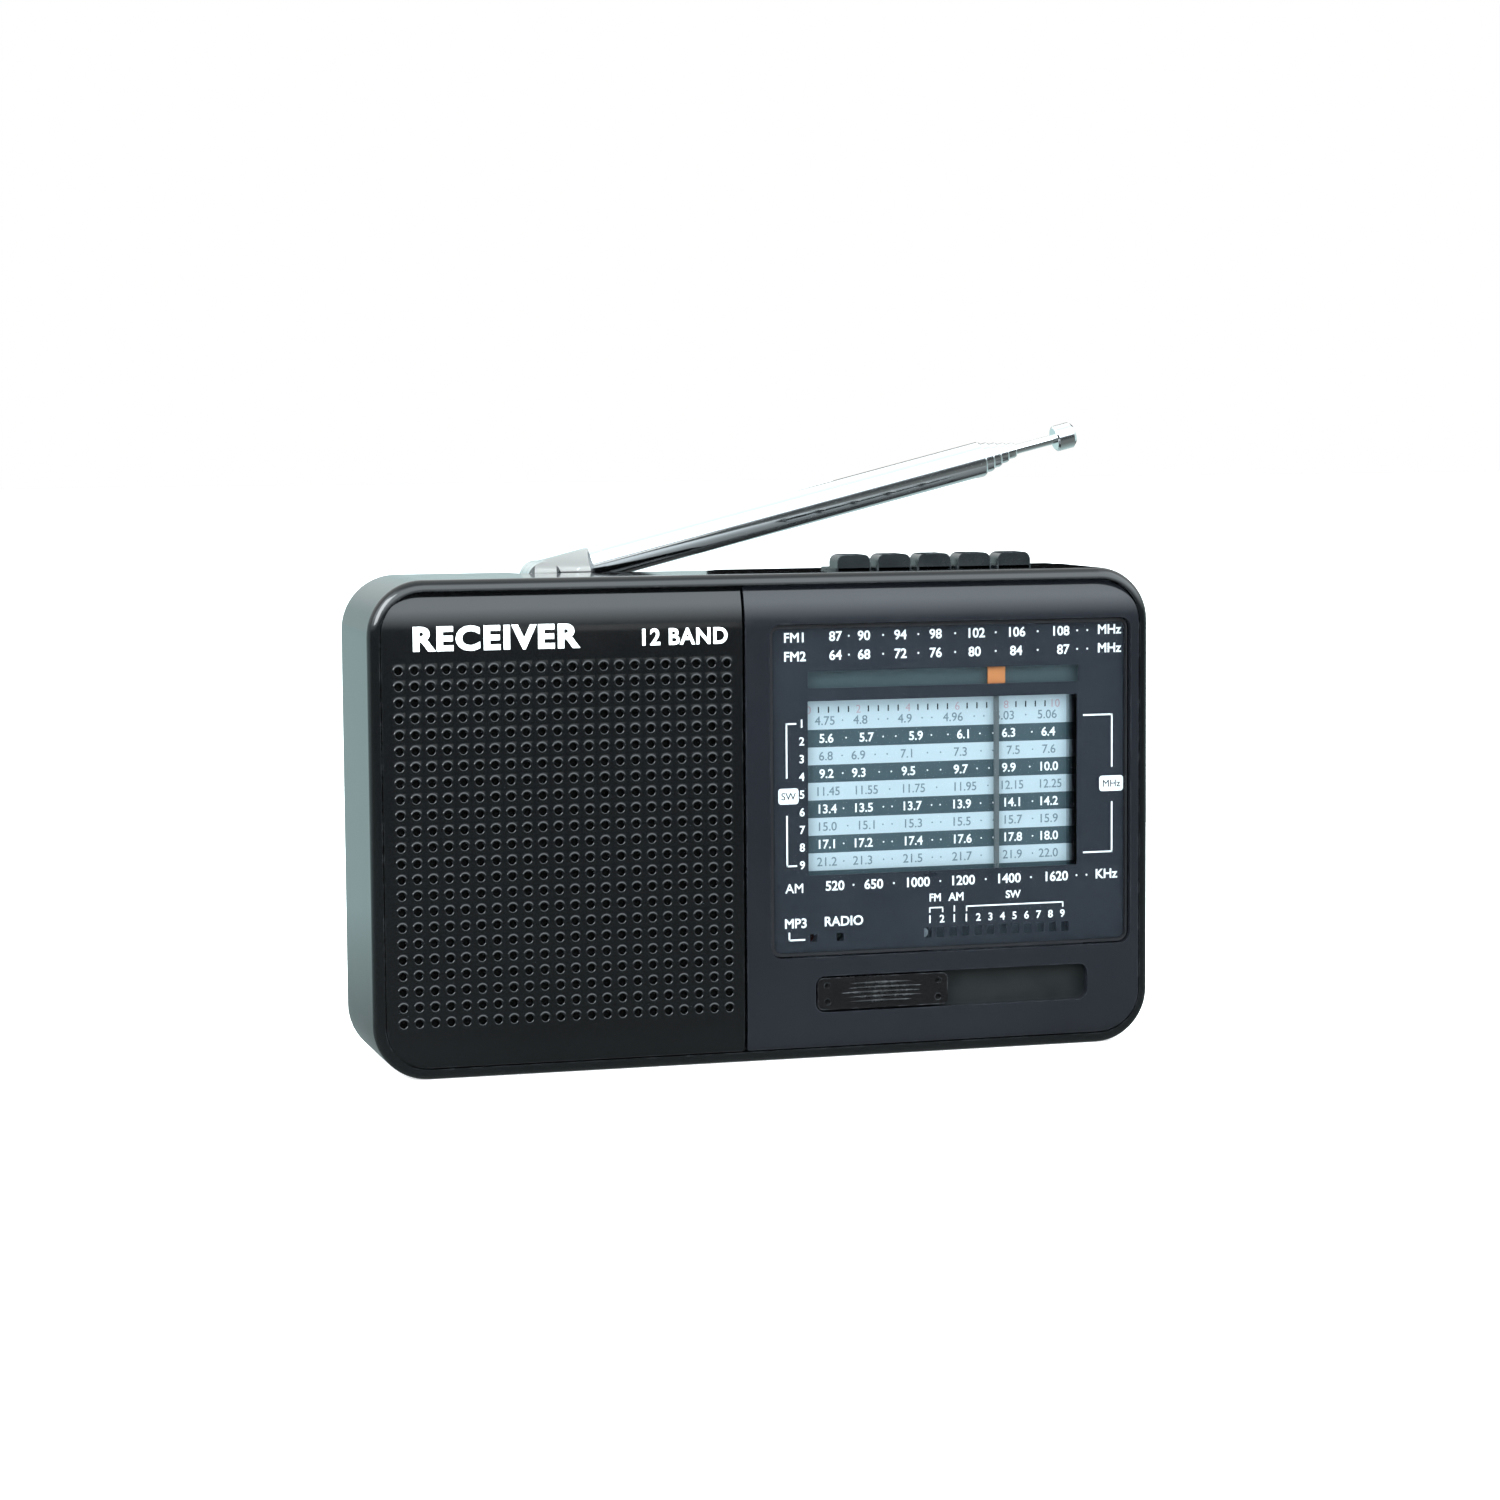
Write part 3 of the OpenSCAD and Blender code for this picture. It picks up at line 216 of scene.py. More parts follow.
CARD_BAR = surface("card_bar", linear("#4d5c60"), 0.55, specular=0.3, variation=0.05,
                   grain=0.006, grain_size=0.15)
CARD_BACK = surface("window_backing", linear("#a4afb6"), 0.6, specular=0.3, variation=0.05)
GREY_INK = surface("grey_ink", linear("#6f8089"), 0.55, specular=0.3, variation=0.04)
PINK_INK = surface("pink_ink", linear("#b59ba3"), 0.55, specular=0.3, variation=0.04)
DARK_INK = surface("dark_ink", linear("#1d2226"), 0.5, specular=0.3, variation=0.04)
ORANGE = surface("orange_marker", linear("#c57f4c"), 0.42, specular=0.4, grain=0.006,
                 grain_size=0.25, wear=0.3)
NEEDLE = surface("needle_paint", linear("#6d7577"), 0.35, metallic=0.3, grain=0.004,
                 grain_size=0.3, stretch=(1, 1, 0.1))
SLIDER = surface("slider_plastic", linear("#09090a"), 0.22, specular=0.4, grain=0.006,
                 grain_size=0.3, scratches=0.08, wear=0.4, worn=linear("#606468"))
SLOT_FLOOR = surface("slot_floor", linear("#0c1011"), 0.5, specular=0.25, grain=0.01,
                     grain_size=0.25, scratches=0.1, stretch=(0.05, 1, 1))
KEY = surface("key_plastic", linear("#15191b"), 0.24, specular=0.5, coat=0.1, grain=0.006,
              grain_size=0.3, wear=0.35, worn=linear("#7c878a"))
WHEEL = surface("wheel_plastic", linear("#15171a"), 0.42, specular=0.4, grain=0.012,
                grain_size=0.3, wear=0.4, worn=linear("#50555a"))
CHROME = surface("aerial_chrome", linear("#f6f9f9"), 0.12, metallic=1, variation=0.02,
                 uneven=0.2, patch=14, scratches=0.03, stretch=(0.06, 1, 1))
STEEL = surface("plated_steel", linear("#b9bdc2"), 0.28, metallic=1, variation=0.1, grain=0.006,
                grain_size=0.25, scratches=0.1, wear=0.3, worn=linear("#e4e6e8"))
BRASS = surface("contact_brass", linear("#d9b668"), 0.3, metallic=1, grain=0.004, grain_size=0.3)
MOULDED = surface("moulded_black", linear("#1a1b1e"), 0.5, specular=0.4, grain=0.015,
                  grain_size=0.3)
BOARD = surface("circuit_board", linear("#175034"), 0.38, specular=0.5, patch=6, variation=0.3,
                grain=0.01, grain_size=0.4)
IVORY = surface("ivory_moulding", linear("#d9d2bd"), 0.45, grain=0.01, grain_size=0.4)
NYLON = surface("white_nylon", linear("#ecece6"), 0.45, grain=0.01, grain_size=0.4)
BATTERY = surface("cell_wrap", linear("#2f62a6"), 0.3, coat=0.2, patch=12, grain=0.01,
                  grain_size=2)
FERRITE = surface("ferrite", linear("#3a3a3c"), 0.55, patch=3, variation=0.3, grain=0.02,
                  grain_size=0.3)
COPPER = surface("copper_winding", linear("#b4743f"), 0.28, metallic=0.8, weave=0.3)
STRING = surface("dial_string", linear("#d5cfba"), 0.8, weave=0.2)
PAPER = surface("cone_paper", linear("#202124"), 0.85, patch=4, grain=0.03, grain_size=0.5)
RED_LAMP = surface("red_lamp", linear("#4a1414"), 0.12, coat=0.4)
GREEN_LAMP = surface("green_lamp", linear("#123a1c"), 0.12, coat=0.4)


# ---------------------------------------------------------------- Mesh building

PLANES = {
    "front": lambda a, b, depth: (a, depth, b),
    "top": lambda a, b, depth: (a, b, depth),
}


def rounded(x0, z0, x1, z1, r, steps=8):
    """Outline of a rectangle with round corners, in mm. r is one radius, or four of them:
    lower right, upper right, upper left, lower left."""
    radii = r if isinstance(r, (tuple, list)) else (r,) * 4
    corners = ((x1, z0, -90), (x1, z1, 0), (x0, z1, 90), (x0, z0, 180))
    points = []
    for (x, z, start), radius in zip(corners, radii):
        if radius <= 0:
            points.append((x, z))
            continue
        cx = x - radius if x == x1 else x + radius
        cz = z - radius if z == z1 else z + radius
        for i in range(steps + 1):
            a = math.radians(start + 90 * i / steps)
            points.append((cx + radius * math.cos(a), cz + radius * math.sin(a)))
    return points


def circle(x, z, r, steps=32):
    return [(x + r * math.cos(2 * math.pi * i / steps), z + r * math.sin(2 * math.pi * i / steps))
            for i in range(steps)]


def thick(bm, rings, near, far, plane="front"):
    """Adds to bm a closed plate: outlines in mm, the first one outer and the rest holes."""
    place = PLANES[plane]
    fronts, edges = [], []
    for ring in rings:
        row = [bm.verts.new([c * MM for c in place(a, b, near)]) for a, b in ring]
        fronts.append(row)
        edges += [bm.edges.new((row[i - 1], row[i])) for i in range(len(row))]
    filled = bmesh.ops.triangle_fill(bm, use_beauty=True, edges=edges)["geom"]
    caps = [f for f in filled if isinstance(f, bmesh.types.BMFace)]
    backs = {}
    for row, ring in zip(fronts, rings):
        for vert, (a, b) in zip(row, ring):
            backs[vert] = bm.verts.new([c * MM for c in place(a, b, far)])
    made = list(caps)
    made += [bm.faces.new([backs[v] for v in reversed(f.verts)]) for f in caps]
    for row in fronts:
        for i in range(len(row)):
            made.append(bm.faces.new((row[i - 1], row[i], backs[row[i]], backs[row[i - 1]])))
    bmesh.ops.recalc_face_normals(bm, faces=made)
    return made


def piece(name, bm, material, body, slot, angle=35, bevel=0, steps=3, replaces=()):
    """Turns bm into an object that rides on a CAD body. bevel rounds its sharp edges, in mm."""
    mesh = bpy.data.meshes.new(name)
    for face in bm.faces:
        face.smooth = True
    for edge in bm.edges:
        if len(edge.link_faces) == 2:
            edge.smooth = edge.calc_face_angle(0) < math.radians(angle)
    bm.to_mesh(mesh)
    bm.free()
    made = bpy.data.objects.new(name, mesh)
    bpy.context.scene.collection.objects.link(made)
    mesh.materials.append(material)
    if bevel:
        rounding = made.modifiers.new("rounding", "BEVEL")
        rounding.width = bevel * MM
        rounding.segments = steps
        rounding.limit_method = "ANGLE"
        rounding.angle_limit = math.radians(angle)
        rounding.harden_normals = True
        rounding.use_clamp_overlap = True
    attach(made, body)
    if replaces:
        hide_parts(*replaces)
    return made


def plate(name, rings, near, far, material, body, slot, **more):
    bm = bmesh.new()
    thick(bm, rings, near, far)
    return piece(name, bm, material, body, slot, **more)


# ---------------------------------------------------------------- Sizes read from the frame, in mm

def mm_box(node):
    low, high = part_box(node)
    return [c / MM for c in low], [c / MM for c in high]


CASE_LOW, CASE_HIGH = mm_box("front_frame")
FRONT_Y = CASE_LOW[1]
PANEL_LOW, PANEL_HIGH = mm_box("grille_panel")
BEZEL_LOW, BEZEL_HIGH = mm_box("dial_bezel")
LENS_LOW, LENS_HIGH = mm_box("dial_lens")
PANEL_R = 7.05
PANEL_BACK = PANEL_HIGH[1]
ROLL_R = 17
ROLL_DROP = 1.5
ROLL_ROWS = 14
FOOT_ROLL_H = 5
FOOT_ROLL_DROP = 0.5


def roll_edges(bm):
    """Bends a front panel's top edge back to a long shoulder, and its lower edge a little."""
    run = math.sqrt(ROLL_R ** 2 - (ROLL_R - ROLL_DROP) ** 2)
    start = PANEL_HIGH[2] - run
    foot = PANEL_LOW[2] + FOOT_ROLL_H
    rows = [start + run * i / ROLL_ROWS for i in range(ROLL_ROWS)]
    rows += [foot - FOOT_ROLL_H * i / 6 for i in range(6)]
    for z in rows:
        bmesh.ops.bisect_plane(bm, geom=bm.verts[:] + bm.edges[:] + bm.faces[:],
                               plane_co=(0, 0, z * MM), plane_no=(0, 0, 1), dist=1e-7)
    for vert in bm.verts:
        if vert.co.y > (FRONT_Y + 0.5) * MM:
            continue
        z = vert.co.z / MM
        if z > start:
            vert.co.y += (ROLL_R - math.sqrt(ROLL_R ** 2 - (z - start) ** 2)) * MM
        if z < foot:
            vert.co.y += FOOT_ROLL_DROP * ((foot - z) / FOOT_ROLL_H) ** 2 * MM


# ---------------------------------------------------------------- Grille panel

# HOLE_RING is a hole's section, as pairs of radius and depth behind the panel's face.
PITCH = 2.564
COLUMNS = 22
ROWS = 23
FIRST_X = -61.3
TOP_Z = 65.7
HOLE_RING = [(0.98, 0.0), (0.93, -0.02), (0.85, -0.07), (0.76, -0.1), (0.68, -0.08),
             (0.61, 0.0), (0.58, 0.12), (0.58, 0.55), (0.58, 1.2)]
HOLE_STEPS = 24


def grille_cell(bm, x, z):
    """One square of the grille: a round hole with a raised lip, right through the plate."""
    def ring(radius, depth, square=False):
        row = []
        for i in range(HOLE_STEPS):
            a = 2 * math.pi * i / HOLE_STEPS
            r = radius / max(abs(math.cos(a)), abs(math.sin(a))) if square else radius
            row.append(bm.verts.new(((x + r * math.cos(a)) * MM, (FRONT_Y + depth) * MM,
                                     (z + r * math.sin(a)) * MM)))
        return row

    rows = [ring(PITCH / 2, 0, True)] + [ring(r, d) for r, d in HOLE_RING]
    rows.append(ring(PITCH / 2, HOLE_RING[-1][1], True))
    for first, second in zip(rows, rows[1:]):
        for i in range(HOLE_STEPS):
            bm.faces.new((first[i - 1], first[i], second[i], second[i - 1]))
    return rows[0], rows[-1]


def grille_panel():
    bm = bmesh.new()
    for i in range(COLUMNS):
        for j in range(ROWS):
            grille_cell(bm, FIRST_X + i * PITCH, TOP_Z - j * PITCH)
    bmesh.ops.remove_doubles(bm, verts=bm.verts[:], dist=1e-7)
    inner = [e for e in bm.edges if e.is_boundary]
    front = [e for e in inner if e.verts[0].co.y < (FRONT_Y + 0.1) * MM]
    back = [e for e in inner if e not in set(front)]
    outline = rounded(PANEL_LOW[0], PANEL_LOW[2], PANEL_HIGH[0], PANEL_HIGH[2],
                      (0.4, 0.4, PANEL_R, PANEL_R), 12)
    rings = []
    for depth, rim in ((FRONT_Y, front), (PANEL_BACK, back)):
        row = [bm.verts.new((a * MM, depth * MM, b * MM)) for a, b in outline]
        edges = [bm.edges.new((row[i - 1], row[i])) for i in range(len(row))]
        bmesh.ops.triangle_fill(bm, use_beauty=True, edges=edges + rim)
        rings.append(row)
    for i in range(len(outline)):
        bm.faces.new((rings[0][i - 1], rings[0][i], rings[1][i], rings[1][i - 1]))
    roll_edges(bm)
    bmesh.ops.recalc_face_normals(bm, faces=bm.faces[:])
    return piece("grille_panel_moulding", bm, PANEL, "case", "panel_black", angle=50, bevel=0.22,
                 replaces=("grille_panel",))


# ---------------------------------------------------------------- Dial panel

LENS_R = 1.7
LENS_GAP = 0.2
GROOVE_W = 0.55
SLOT = (7.3, 7.7, 54.9, 13.7)
SLOT_R = 1.6
SLOT_FLOOR_Y = -13.3
MASK_Y = LENS_HIGH[1] + 0.02
MASK_T = 0.3
PRINT_T = 0.02
CARD_LOW, CARD_HIGH = mm_box("scale_plate")
WINDOWS = {"fm": (6.1, 61.2, 53.3, 64.0), "sw": (6.1, 30.4, 53.1, 59.1)}
BANDS = 12
BAND_X = 26.7
BAND_PITCH = 2.2
BAND_Z = 20.1
LAMPS_X = (6.9, 11.45)
# Width and number of steps of the painted shadow at the SW window's right edge.
PAINTED_SHADOW_W = 1.9
PAINTED_SHADOW_STEPS = 4
VIEW_RIGHT = 0.344
VIEW_DOWN = 0.104


def seen(x, z, y):
    """Where a mark at depth y stands so that the eye finds it at (x, z) of the front face."""
    depth = y - FRONT_Y
    return x + VIEW_RIGHT * depth, z - VIEW_DOWN * depth


def window(x0, z0, x1, z1, r):
    """Outline of an opening in the lens's printed back."""
    low, high = seen(x0, z0, MASK_Y), seen(x1, z1, MASK_Y)
    return rounded(low[0], low[1], high[0], high[1], r, 4)


def dial_panel():
    outline = rounded(BEZEL_LOW[0], BEZEL_LOW[2], BEZEL_HIGH[0], BEZEL_HIGH[2],
                      (PANEL_R, PANEL_R, 0.4, 0.4), 12)
    lens_hole = rounded(LENS_LOW[0] - LENS_GAP, LENS_LOW[2] - LENS_GAP, LENS_HIGH[0] + LENS_GAP,
                        LENS_HIGH[2] + LENS_GAP, LENS_R + LENS_GAP)
    bm = bmesh.new()
    thick(bm, [outline, lens_hole, rounded(*SLOT, SLOT_R)], FRONT_Y, PANEL_BACK)
    roll_edges(bm)
    piece("dial_panel_moulding", bm, BEZEL, "case", "bezel_black", angle=50, bevel=0.3, steps=4,
          replaces=("dial_bezel",))
    floor = rounded(SLOT[0] - 0.6, SLOT[1] - 0.6, SLOT[2] + 0.6, SLOT[3] + 0.6, SLOT_R)
    plate("slot_floor", [floor], PANEL_BACK - 0.45, PANEL_BACK - 0.05, SLOT_FLOOR, "case",
          "bezel_black", bevel=0.08)


def dial_window():
    bm = bmesh.new()
    face = rounded(LENS_LOW[0] + GROOVE_W, LENS_LOW[2] + GROOVE_W, LENS_HIGH[0] - GROOVE_W,
                   LENS_HIGH[2] - GROOVE_W, LENS_R - GROOVE_W)
    thick(bm, [face], LENS_LOW[1], LENS_HIGH[1])
    piece("dial_window", bm, LENS, "case", "lens", bevel=0.25, replaces=("dial_lens",))
    seat = rounded(LENS_LOW[0], LENS_LOW[2], LENS_HIGH[0], LENS_HIGH[2], LENS_R)
    plate("lens_seat", [seat, face], LENS_HIGH[1] - 0.25, LENS_HIGH[1], MOULDED, "case",
          "tray_plastic")
    openings = [window(*WINDOWS["fm"], 0.1), window(*WINDOWS["sw"], 0.1)]
    openings += [window(BAND_X + i * BAND_PITCH - 0.65, BAND_Z - 0.8,
                        BAND_X + i * BAND_PITCH + 0.65, BAND_Z + 0.8, 0.15) for i in range(BANDS)]
    openings += [window(x - 0.6, BAND_Z - 0.7, x + 0.6, BAND_Z + 0.6, 0.1) for x in LAMPS_X]
    outline = rounded(LENS_LOW[0] - 0.1, LENS_LOW[2] - 0.1, LENS_HIGH[0] + 0.1,
                      LENS_HIGH[2] + 0.1, LENS_R)
    plate("lens_print_ground", [outline] + openings, MASK_Y, MASK_Y + MASK_T, MASK, "case",
          "lens")
    low, high = seen(BAND_X - 2, BAND_Z - 1.6, MASK_Y), seen(52, BAND_Z + 1.6, MASK_Y)
    lamp_low, lamp_high = seen(5.5, BAND_Z - 1.6, MASK_Y), seen(13, BAND_Z + 1.6, MASK_Y)
    film = bmesh.new()
    for corners in ((*low, *high), (*lamp_low, *lamp_high)):
        thick(film, [rounded(*corners, 0.3, 3)], MASK_Y + MASK_T + 0.02, MASK_Y + MASK_T + 0.12)
    piece("window_film", film, SMOKE, "case", "lens")
    # Stacked tinted strips over the right end of the SW window: a painted shadow that darkens the scale
    # card more towards the window's right edge.
    painted_shadow = bmesh.new()
    x1, z0, z1 = WINDOWS["sw"][2], WINDOWS["sw"][1], WINDOWS["sw"][3]
    for i in range(PAINTED_SHADOW_STEPS):
        y = MASK_Y + MASK_T + 0.04 + 0.04 * i
        low = seen(x1 - PAINTED_SHADOW_W * (1 - i / PAINTED_SHADOW_STEPS), z0 - 0.3, y)
        high = seen(x1 + 0.5, z1 + 0.3, y)
        thick(painted_shadow, [rounded(*low, *high, 0.05, 2)], y, y + 0.02)
    piece("painted_window_shadow", painted_shadow, PAINTED_SHADOW, "case", "lens")
    plate("window_backing", [rounded(4.5, 16.5, 55.5, 24.2, 0.5)], -11.4, -11.1, CARD_BACK, "case",
          "tray_plastic")


# ---------------------------------------------------------------- Lettering

FM_ROWS = (
    (69.7, "FM1", ((10.9, "87"), (15.8, "90"), (22.1, "94"), (28.2, "98"), (35.2, "102"),
                   (42.3, "106"), (50.1, "108"))),
    (66.6, "FM2", ((10.9, "64"), (15.8, "68"), (22.1, "72"), (28.2, "76"), (35.0, "80"),
                   (42.3, "84"), (50.6, "87"))),
)
FM_DOTS = (13.2, 19.1, 25.2, 31.6, 38.7, 46.1, 53.1, 54.9)
AM_Z = 28.6
AM_MARKS = ((10.6, "520"), (17.3, "650"), (24.9, "1000"), (32.8, "1200"), (40.9, "1400"),
            (49.3, "1620"))
AM_DOTS = (13.8, 20.8, 28.9, 36.9, 44.9, 53.0, 54.8)
ROW_Z = 55.9
ROW_PITCH = 2.9125
LOG_Z = 57.7
LOG_X = 6.15
LOG_STEP = 1.72
SHORTWAVE = (
    ((9.0, "4.75"), (15.1, "4.8"), (22.8, "4.9"), (31.2, "4.96"), (40.3, "5.03"), (47.8, "5.06"),
     (12.0, ""), (18.2, ""), (19.8, ""), (25.8, ""), (27.5, ""), (34.9, ""), (36.6, ""),
     (44.0, "")),
    ((9.2, "5.6"), (16.1, "5.7"), (24.7, "5.9"), (33.1, "6.1"), (41.0, "6.3"), (48.0, "6.4"),
     (12.6, ""), (19.0, ""), (21.2, ""), (27.4, ""), (30.3, ""), (35.9, ""), (38.2, ""),
     (45.1, "")),
    ((9.1, "6.8"), (14.7, "6.9"), (23.2, "7.1"), (32.5, "7.3"), (41.8, "7.5"), (48.1, "7.6"),
     (11.9, ""), (17.6, ""), (19.7, ""), (26.7, ""), (29.0, ""), (36.1, ""), (38.2, ""),
     (45.2, "")),
    ((9.2, "9.2"), (14.8, "9.3"), (23.4, "9.5"), (32.5, "9.7"), (41.0, "9.9"), (48.0, "10.0"),
     (12.0, ""), (18.3, ""), (20.4, ""), (26.7, ""), (29.0, ""), (35.4, ""), (37.5, ""),
     (44.7, "")),
    ((9.4, "11.45"), (16.0, "11.55"), (24.2, "11.75"), (33.2, "11.95"), (41.5, "12.15"),
     (48.3, "12.25"), (20.1, ""), (28.3, ""), (37.3, "")),
    ((9.2, "13.4"), (15.5, "13.5"), (23.9, "13.7"), (32.6, "13.9"), (41.6, "14.1"),
     (48.0, "14.2"), (12.1, ""), (19.0, ""), (20.5, ""), (27.4, ""), (28.9, ""), (36.0, ""),
     (38.2, ""), (45.2, "")),
    ((9.2, "15.0"), (16.1, "15.1"), (24.1, "15.3"), (32.6, "15.5"), (41.6, "15.7"),
     (48.0, "15.9"), (12.8, ""), (18.9, ""), (20.5, ""), (27.5, ""), (29.0, ""), (36.1, ""),
     (38.2, ""), (45.2, "")),
    ((9.2, "17.1"), (15.4, "17.2"), (24.1, "17.4"), (32.7, "17.6"), (41.6, "17.8"),
     (48.0, "18.0"), (12.1, ""), (19.0, ""), (20.5, ""), (27.5, ""), (29.0, ""), (36.1, ""),
     (38.2, ""), (45.2, "")),
    ((9.2, "21.2"), (15.4, "21.3"), (24.1, "21.5"), (32.7, "21.7"), (41.6, "21.9"),
     (48.0, "22.0"), (12.1, ""), (19.0, ""), (20.5, ""), (27.5, ""), (29.0, ""), (36.1, ""),
     (45.2, "")),
)


def letter_mesh(text, size, weight=0, spacing=1):
    """A line of the built-in font as a mesh in its own XY plane, centred on X. weight rounds
    its strokes outward. Its depth runs from -1 to 1."""
    curve = bpy.data.curves.new("line", "FONT")
    curve.body = text
    curve.size = size
    curve.align_x = "CENTER"
    curve.bevel_depth = weight
    curve.bevel_resolution = 0
    curve.extrude = LETTER_DEPTH
    curve.space_character = spacing
    curve.resolution_u = 4
    made = bpy.data.objects.new("line", curve)
    bpy.context.scene.collection.objects.link(made)
    bpy.context.view_layer.update()
    shown = made.evaluated_get(bpy.context.evaluated_depsgraph_get())
    mesh = bpy.data.meshes.new_from_object(shown)
    mesh.transform(Matrix.Diagonal((1, 1, 1 / (LETTER_DEPTH + weight), 1)))
    bpy.data.objects.remove(made)
    bpy.data.curves.remove(curve)
    return mesh


LETTER_DEPTH = 0.02
CAP = max(v.co.y for v in letter_mesh("H", 1).vertices)


def letters(bm, text, x, z, cap, y, weight=0.035, stretch=1.0, spacing=1.0):
    """Adds a line of lettering that faces the front: its middle is at (x, z) and its ink
    stands out from depth y. weight thickens the strokes, as a part of the letters' height."""
    mesh = letter_mesh(text, 1 / CAP, weight, spacing)
    place = Matrix.Translation((x * MM, (y - PRINT_T / 2) * MM, (z - cap / 2) * MM))
    turn = Matrix.Rotation(math.radians(90), 4, "X")
    size = Matrix.Diagonal((cap * stretch * MM, cap * MM, PRINT_T / 2 * MM, 1))
    mesh.transform(place @ turn @ size)
    bm.from_mesh(mesh)
    bpy.data.meshes.remove(mesh)


def strip(bm, x0, z0, x1, z1, y, t=PRINT_T):
    thick(bm, [[(x0, z0), (x1, z0), (x1, z1), (x0, z1)]], y - t, y)


def ink(name, bm, material, slot, body="case"):
    bmesh.ops.remove_doubles(bm, verts=bm.verts[:], dist=1e-8)
    return piece(name, bm, material, body, slot, angle=20)


def lens_lettering():
    bm = bmesh.new()
    y = MASK_Y

    def put(text, x, z, cap, **more):
        letters(bm, text, *seen(x, z, y), cap, y, **more)

    def dot(x, z, size=0.32):
        cx, cz = seen(x, z, y)
        thick(bm, [circle(cx, cz, size / 2, 10)], y - PRINT_T, y)

    def line(x0, z0, x1, z1, width=0.27):
        """A line from one point to another, upright or level."""
        ax, az = seen(min(x0, x1), min(z0, z1), y)
        bx, bz = seen(max(x0, x1), max(z0, z1), y)
        h = width / 2
        strip(bm, ax - h, az - h, bx + h, bz + h, y)

    for z, name, marks in FM_ROWS:
        put(name, 3.95, z - 0.1, 1.5)
        put("MHz", 58.8, z + 0.1, 1.5)
        for x, text in marks:
            put(text, x, z, 1.5)
        for x in FM_DOTS:
            dot(x, z)
    put("AM", 3.7, AM_Z - 0.2, 1.5, weight=0.012)
    put("KHz", 58.3, AM_Z + 0.1, 1.5)
    for x, text in AM_MARKS:
        put(text, x, AM_Z, 1.5)
    for x in AM_DOTS:
        dot(x, AM_Z)
    for k in range(9):
        put(str(k + 1), 5.05, 55.5 - ROW_PITCH * k, 1.27)
    line(2.45, 55.5, 4.0, 55.5)
    line(2.45, 46.7, 2.45, 55.5)
    line(2.45, 32.1, 2.45, 40.3)
    line(2.45, 32.1, 4.0, 32.1)
    line(54.3, 55.5, 59.3, 55.5)
    line(59.3, 46.8, 59.3, 55.5)
    line(59.3, 32.4, 59.3, 40.7)
    line(54.3, 32.4, 59.3, 32.4)
    put("FM", 28.0, 25.9, 1.25, stretch=0.94)
    put("AM", 31.7, 25.9, 1.3, stretch=0.98)
    put("SW", 41.7, 25.9, 1.2)
    line(27.05, 23.5, 27.05, 24.2, 0.22)
    line(27.05, 24.2, 29.3, 24.2, 0.22)
    line(29.3, 23.5, 29.3, 24.2, 0.22)
    line(31.35, 23.5, 31.35, 24.3, 0.22)
    line(33.5, 23.5, 33.5, 24.2, 0.22)
    line(33.5, 24.2, 50.55, 24.2, 0.22)
    line(50.55, 23.5, 50.55, 24.2, 0.22)
    for i, digit in enumerate("121123456789"):
        put(digit, 27.07 + 2.128 * i, 22.3, 1.2)
    put("MP3", 3.85, 22.6, 1.5)
    put("RADIO", 12.1, 22.7, 1.5)
    line(2.73, 19.85, 2.73, 21.0)
    line(2.73, 19.85, 5.3, 19.85)
    ink("lens_lettering", bm, WHITE_INK, "lens")
    badges = bmesh.new()
    words = bmesh.new()
    for text, x, z, w, h, cap in (("SW", 2.72, 43.6, 3.45, 2.6, 1.15),
                                  ("MHz", 59.2, 43.9, 4.25, 2.6, 1.15)):
        cx, cz = seen(x, z, y)
        thick(badges, [rounded(cx - w / 2, cz - h / 2, cx + w / 2, cz + h / 2, 0.5, 5)],
              y - PRINT_T, y)
        letters(words, text, cx, cz, cap, y - PRINT_T - 0.002, weight=0.015)
    ink("unit_badges", badges, WHITE_INK, "lens")
    ink("unit_names", words, DARK_INK, "lens")


def dial_card():
    """The scale behind the lens: striped rows of frequencies, with a log scale above them."""
    y = CARD_LOW[1]
    plate("scale_card", [rounded(CARD_LOW[0], CARD_LOW[2], CARD_HIGH[0], CARD_HIGH[2], 0.6)],
          y + 0.02, CARD_HIGH[1], CARD_DARK, "case", "scale_print", replaces=("scale_plate",))
    light, bar = bmesh.new(), bmesh.new()
    grey, white, pink, dark = (bmesh.new() for _ in range(4))
    left, right = CARD_LOW[0] + 0.4, CARD_HIGH[0] - 0.4
    half = ROW_PITCH / 2
    top = y - 0.02
    for k, marks in enumerate(SHORTWAVE):
        z = seen(0, ROW_Z - ROW_PITCH * k, y)[1]
        bright = k % 2 == 0
        if bright:
            high = seen(0, 59.9, y)[1] if k == 0 else z + half
            strip(light, left, z - half, right, high, y + 0.02, 0.04)
        bm = grey if bright else white
        for x, text in marks:
            cx = seen(x, 0, y)[0]
            if text:
                letters(bm, text, cx, z, 1.4, top, weight=0.012 if bright else 0.03,
                        stretch=0.95 if len(text) > 4 else 1.0)
            else:
                thick(bm, [circle(cx, z, 0.14, 8)], top - PRINT_T, top)
    for i in range(26):
        x, z = seen(LOG_X + LOG_STEP * i, LOG_Z, y)
        if i % 5:
            strip(dark, x - 0.11, z - 0.5, x + 0.11, z + 0.5, top)
        else:
            letters(pink, str(i // 5 * 2), x, z, 1.29, top, weight=0.0)
    strip(bar, left, seen(0, 60.6, y)[1], right, CARD_HIGH[2] - 0.3, y + 0.02, 0.04)
    for name, bm, material in (("card_light_rows", light, CARD_LIGHT),
                               ("card_marker_strip", bar, CARD_BAR)):
        piece(name, bm, material, "case", "scale_print")
    for name, bm, material in (("card_grey_figures", grey, GREY_INK),
                               ("card_white_figures", white, WHITE_INK),
                               ("card_log_figures", pink, PINK_INK),
                               ("card_log_ticks", dark, DARK_INK)):
        ink(name, bm, material, "scale_print")


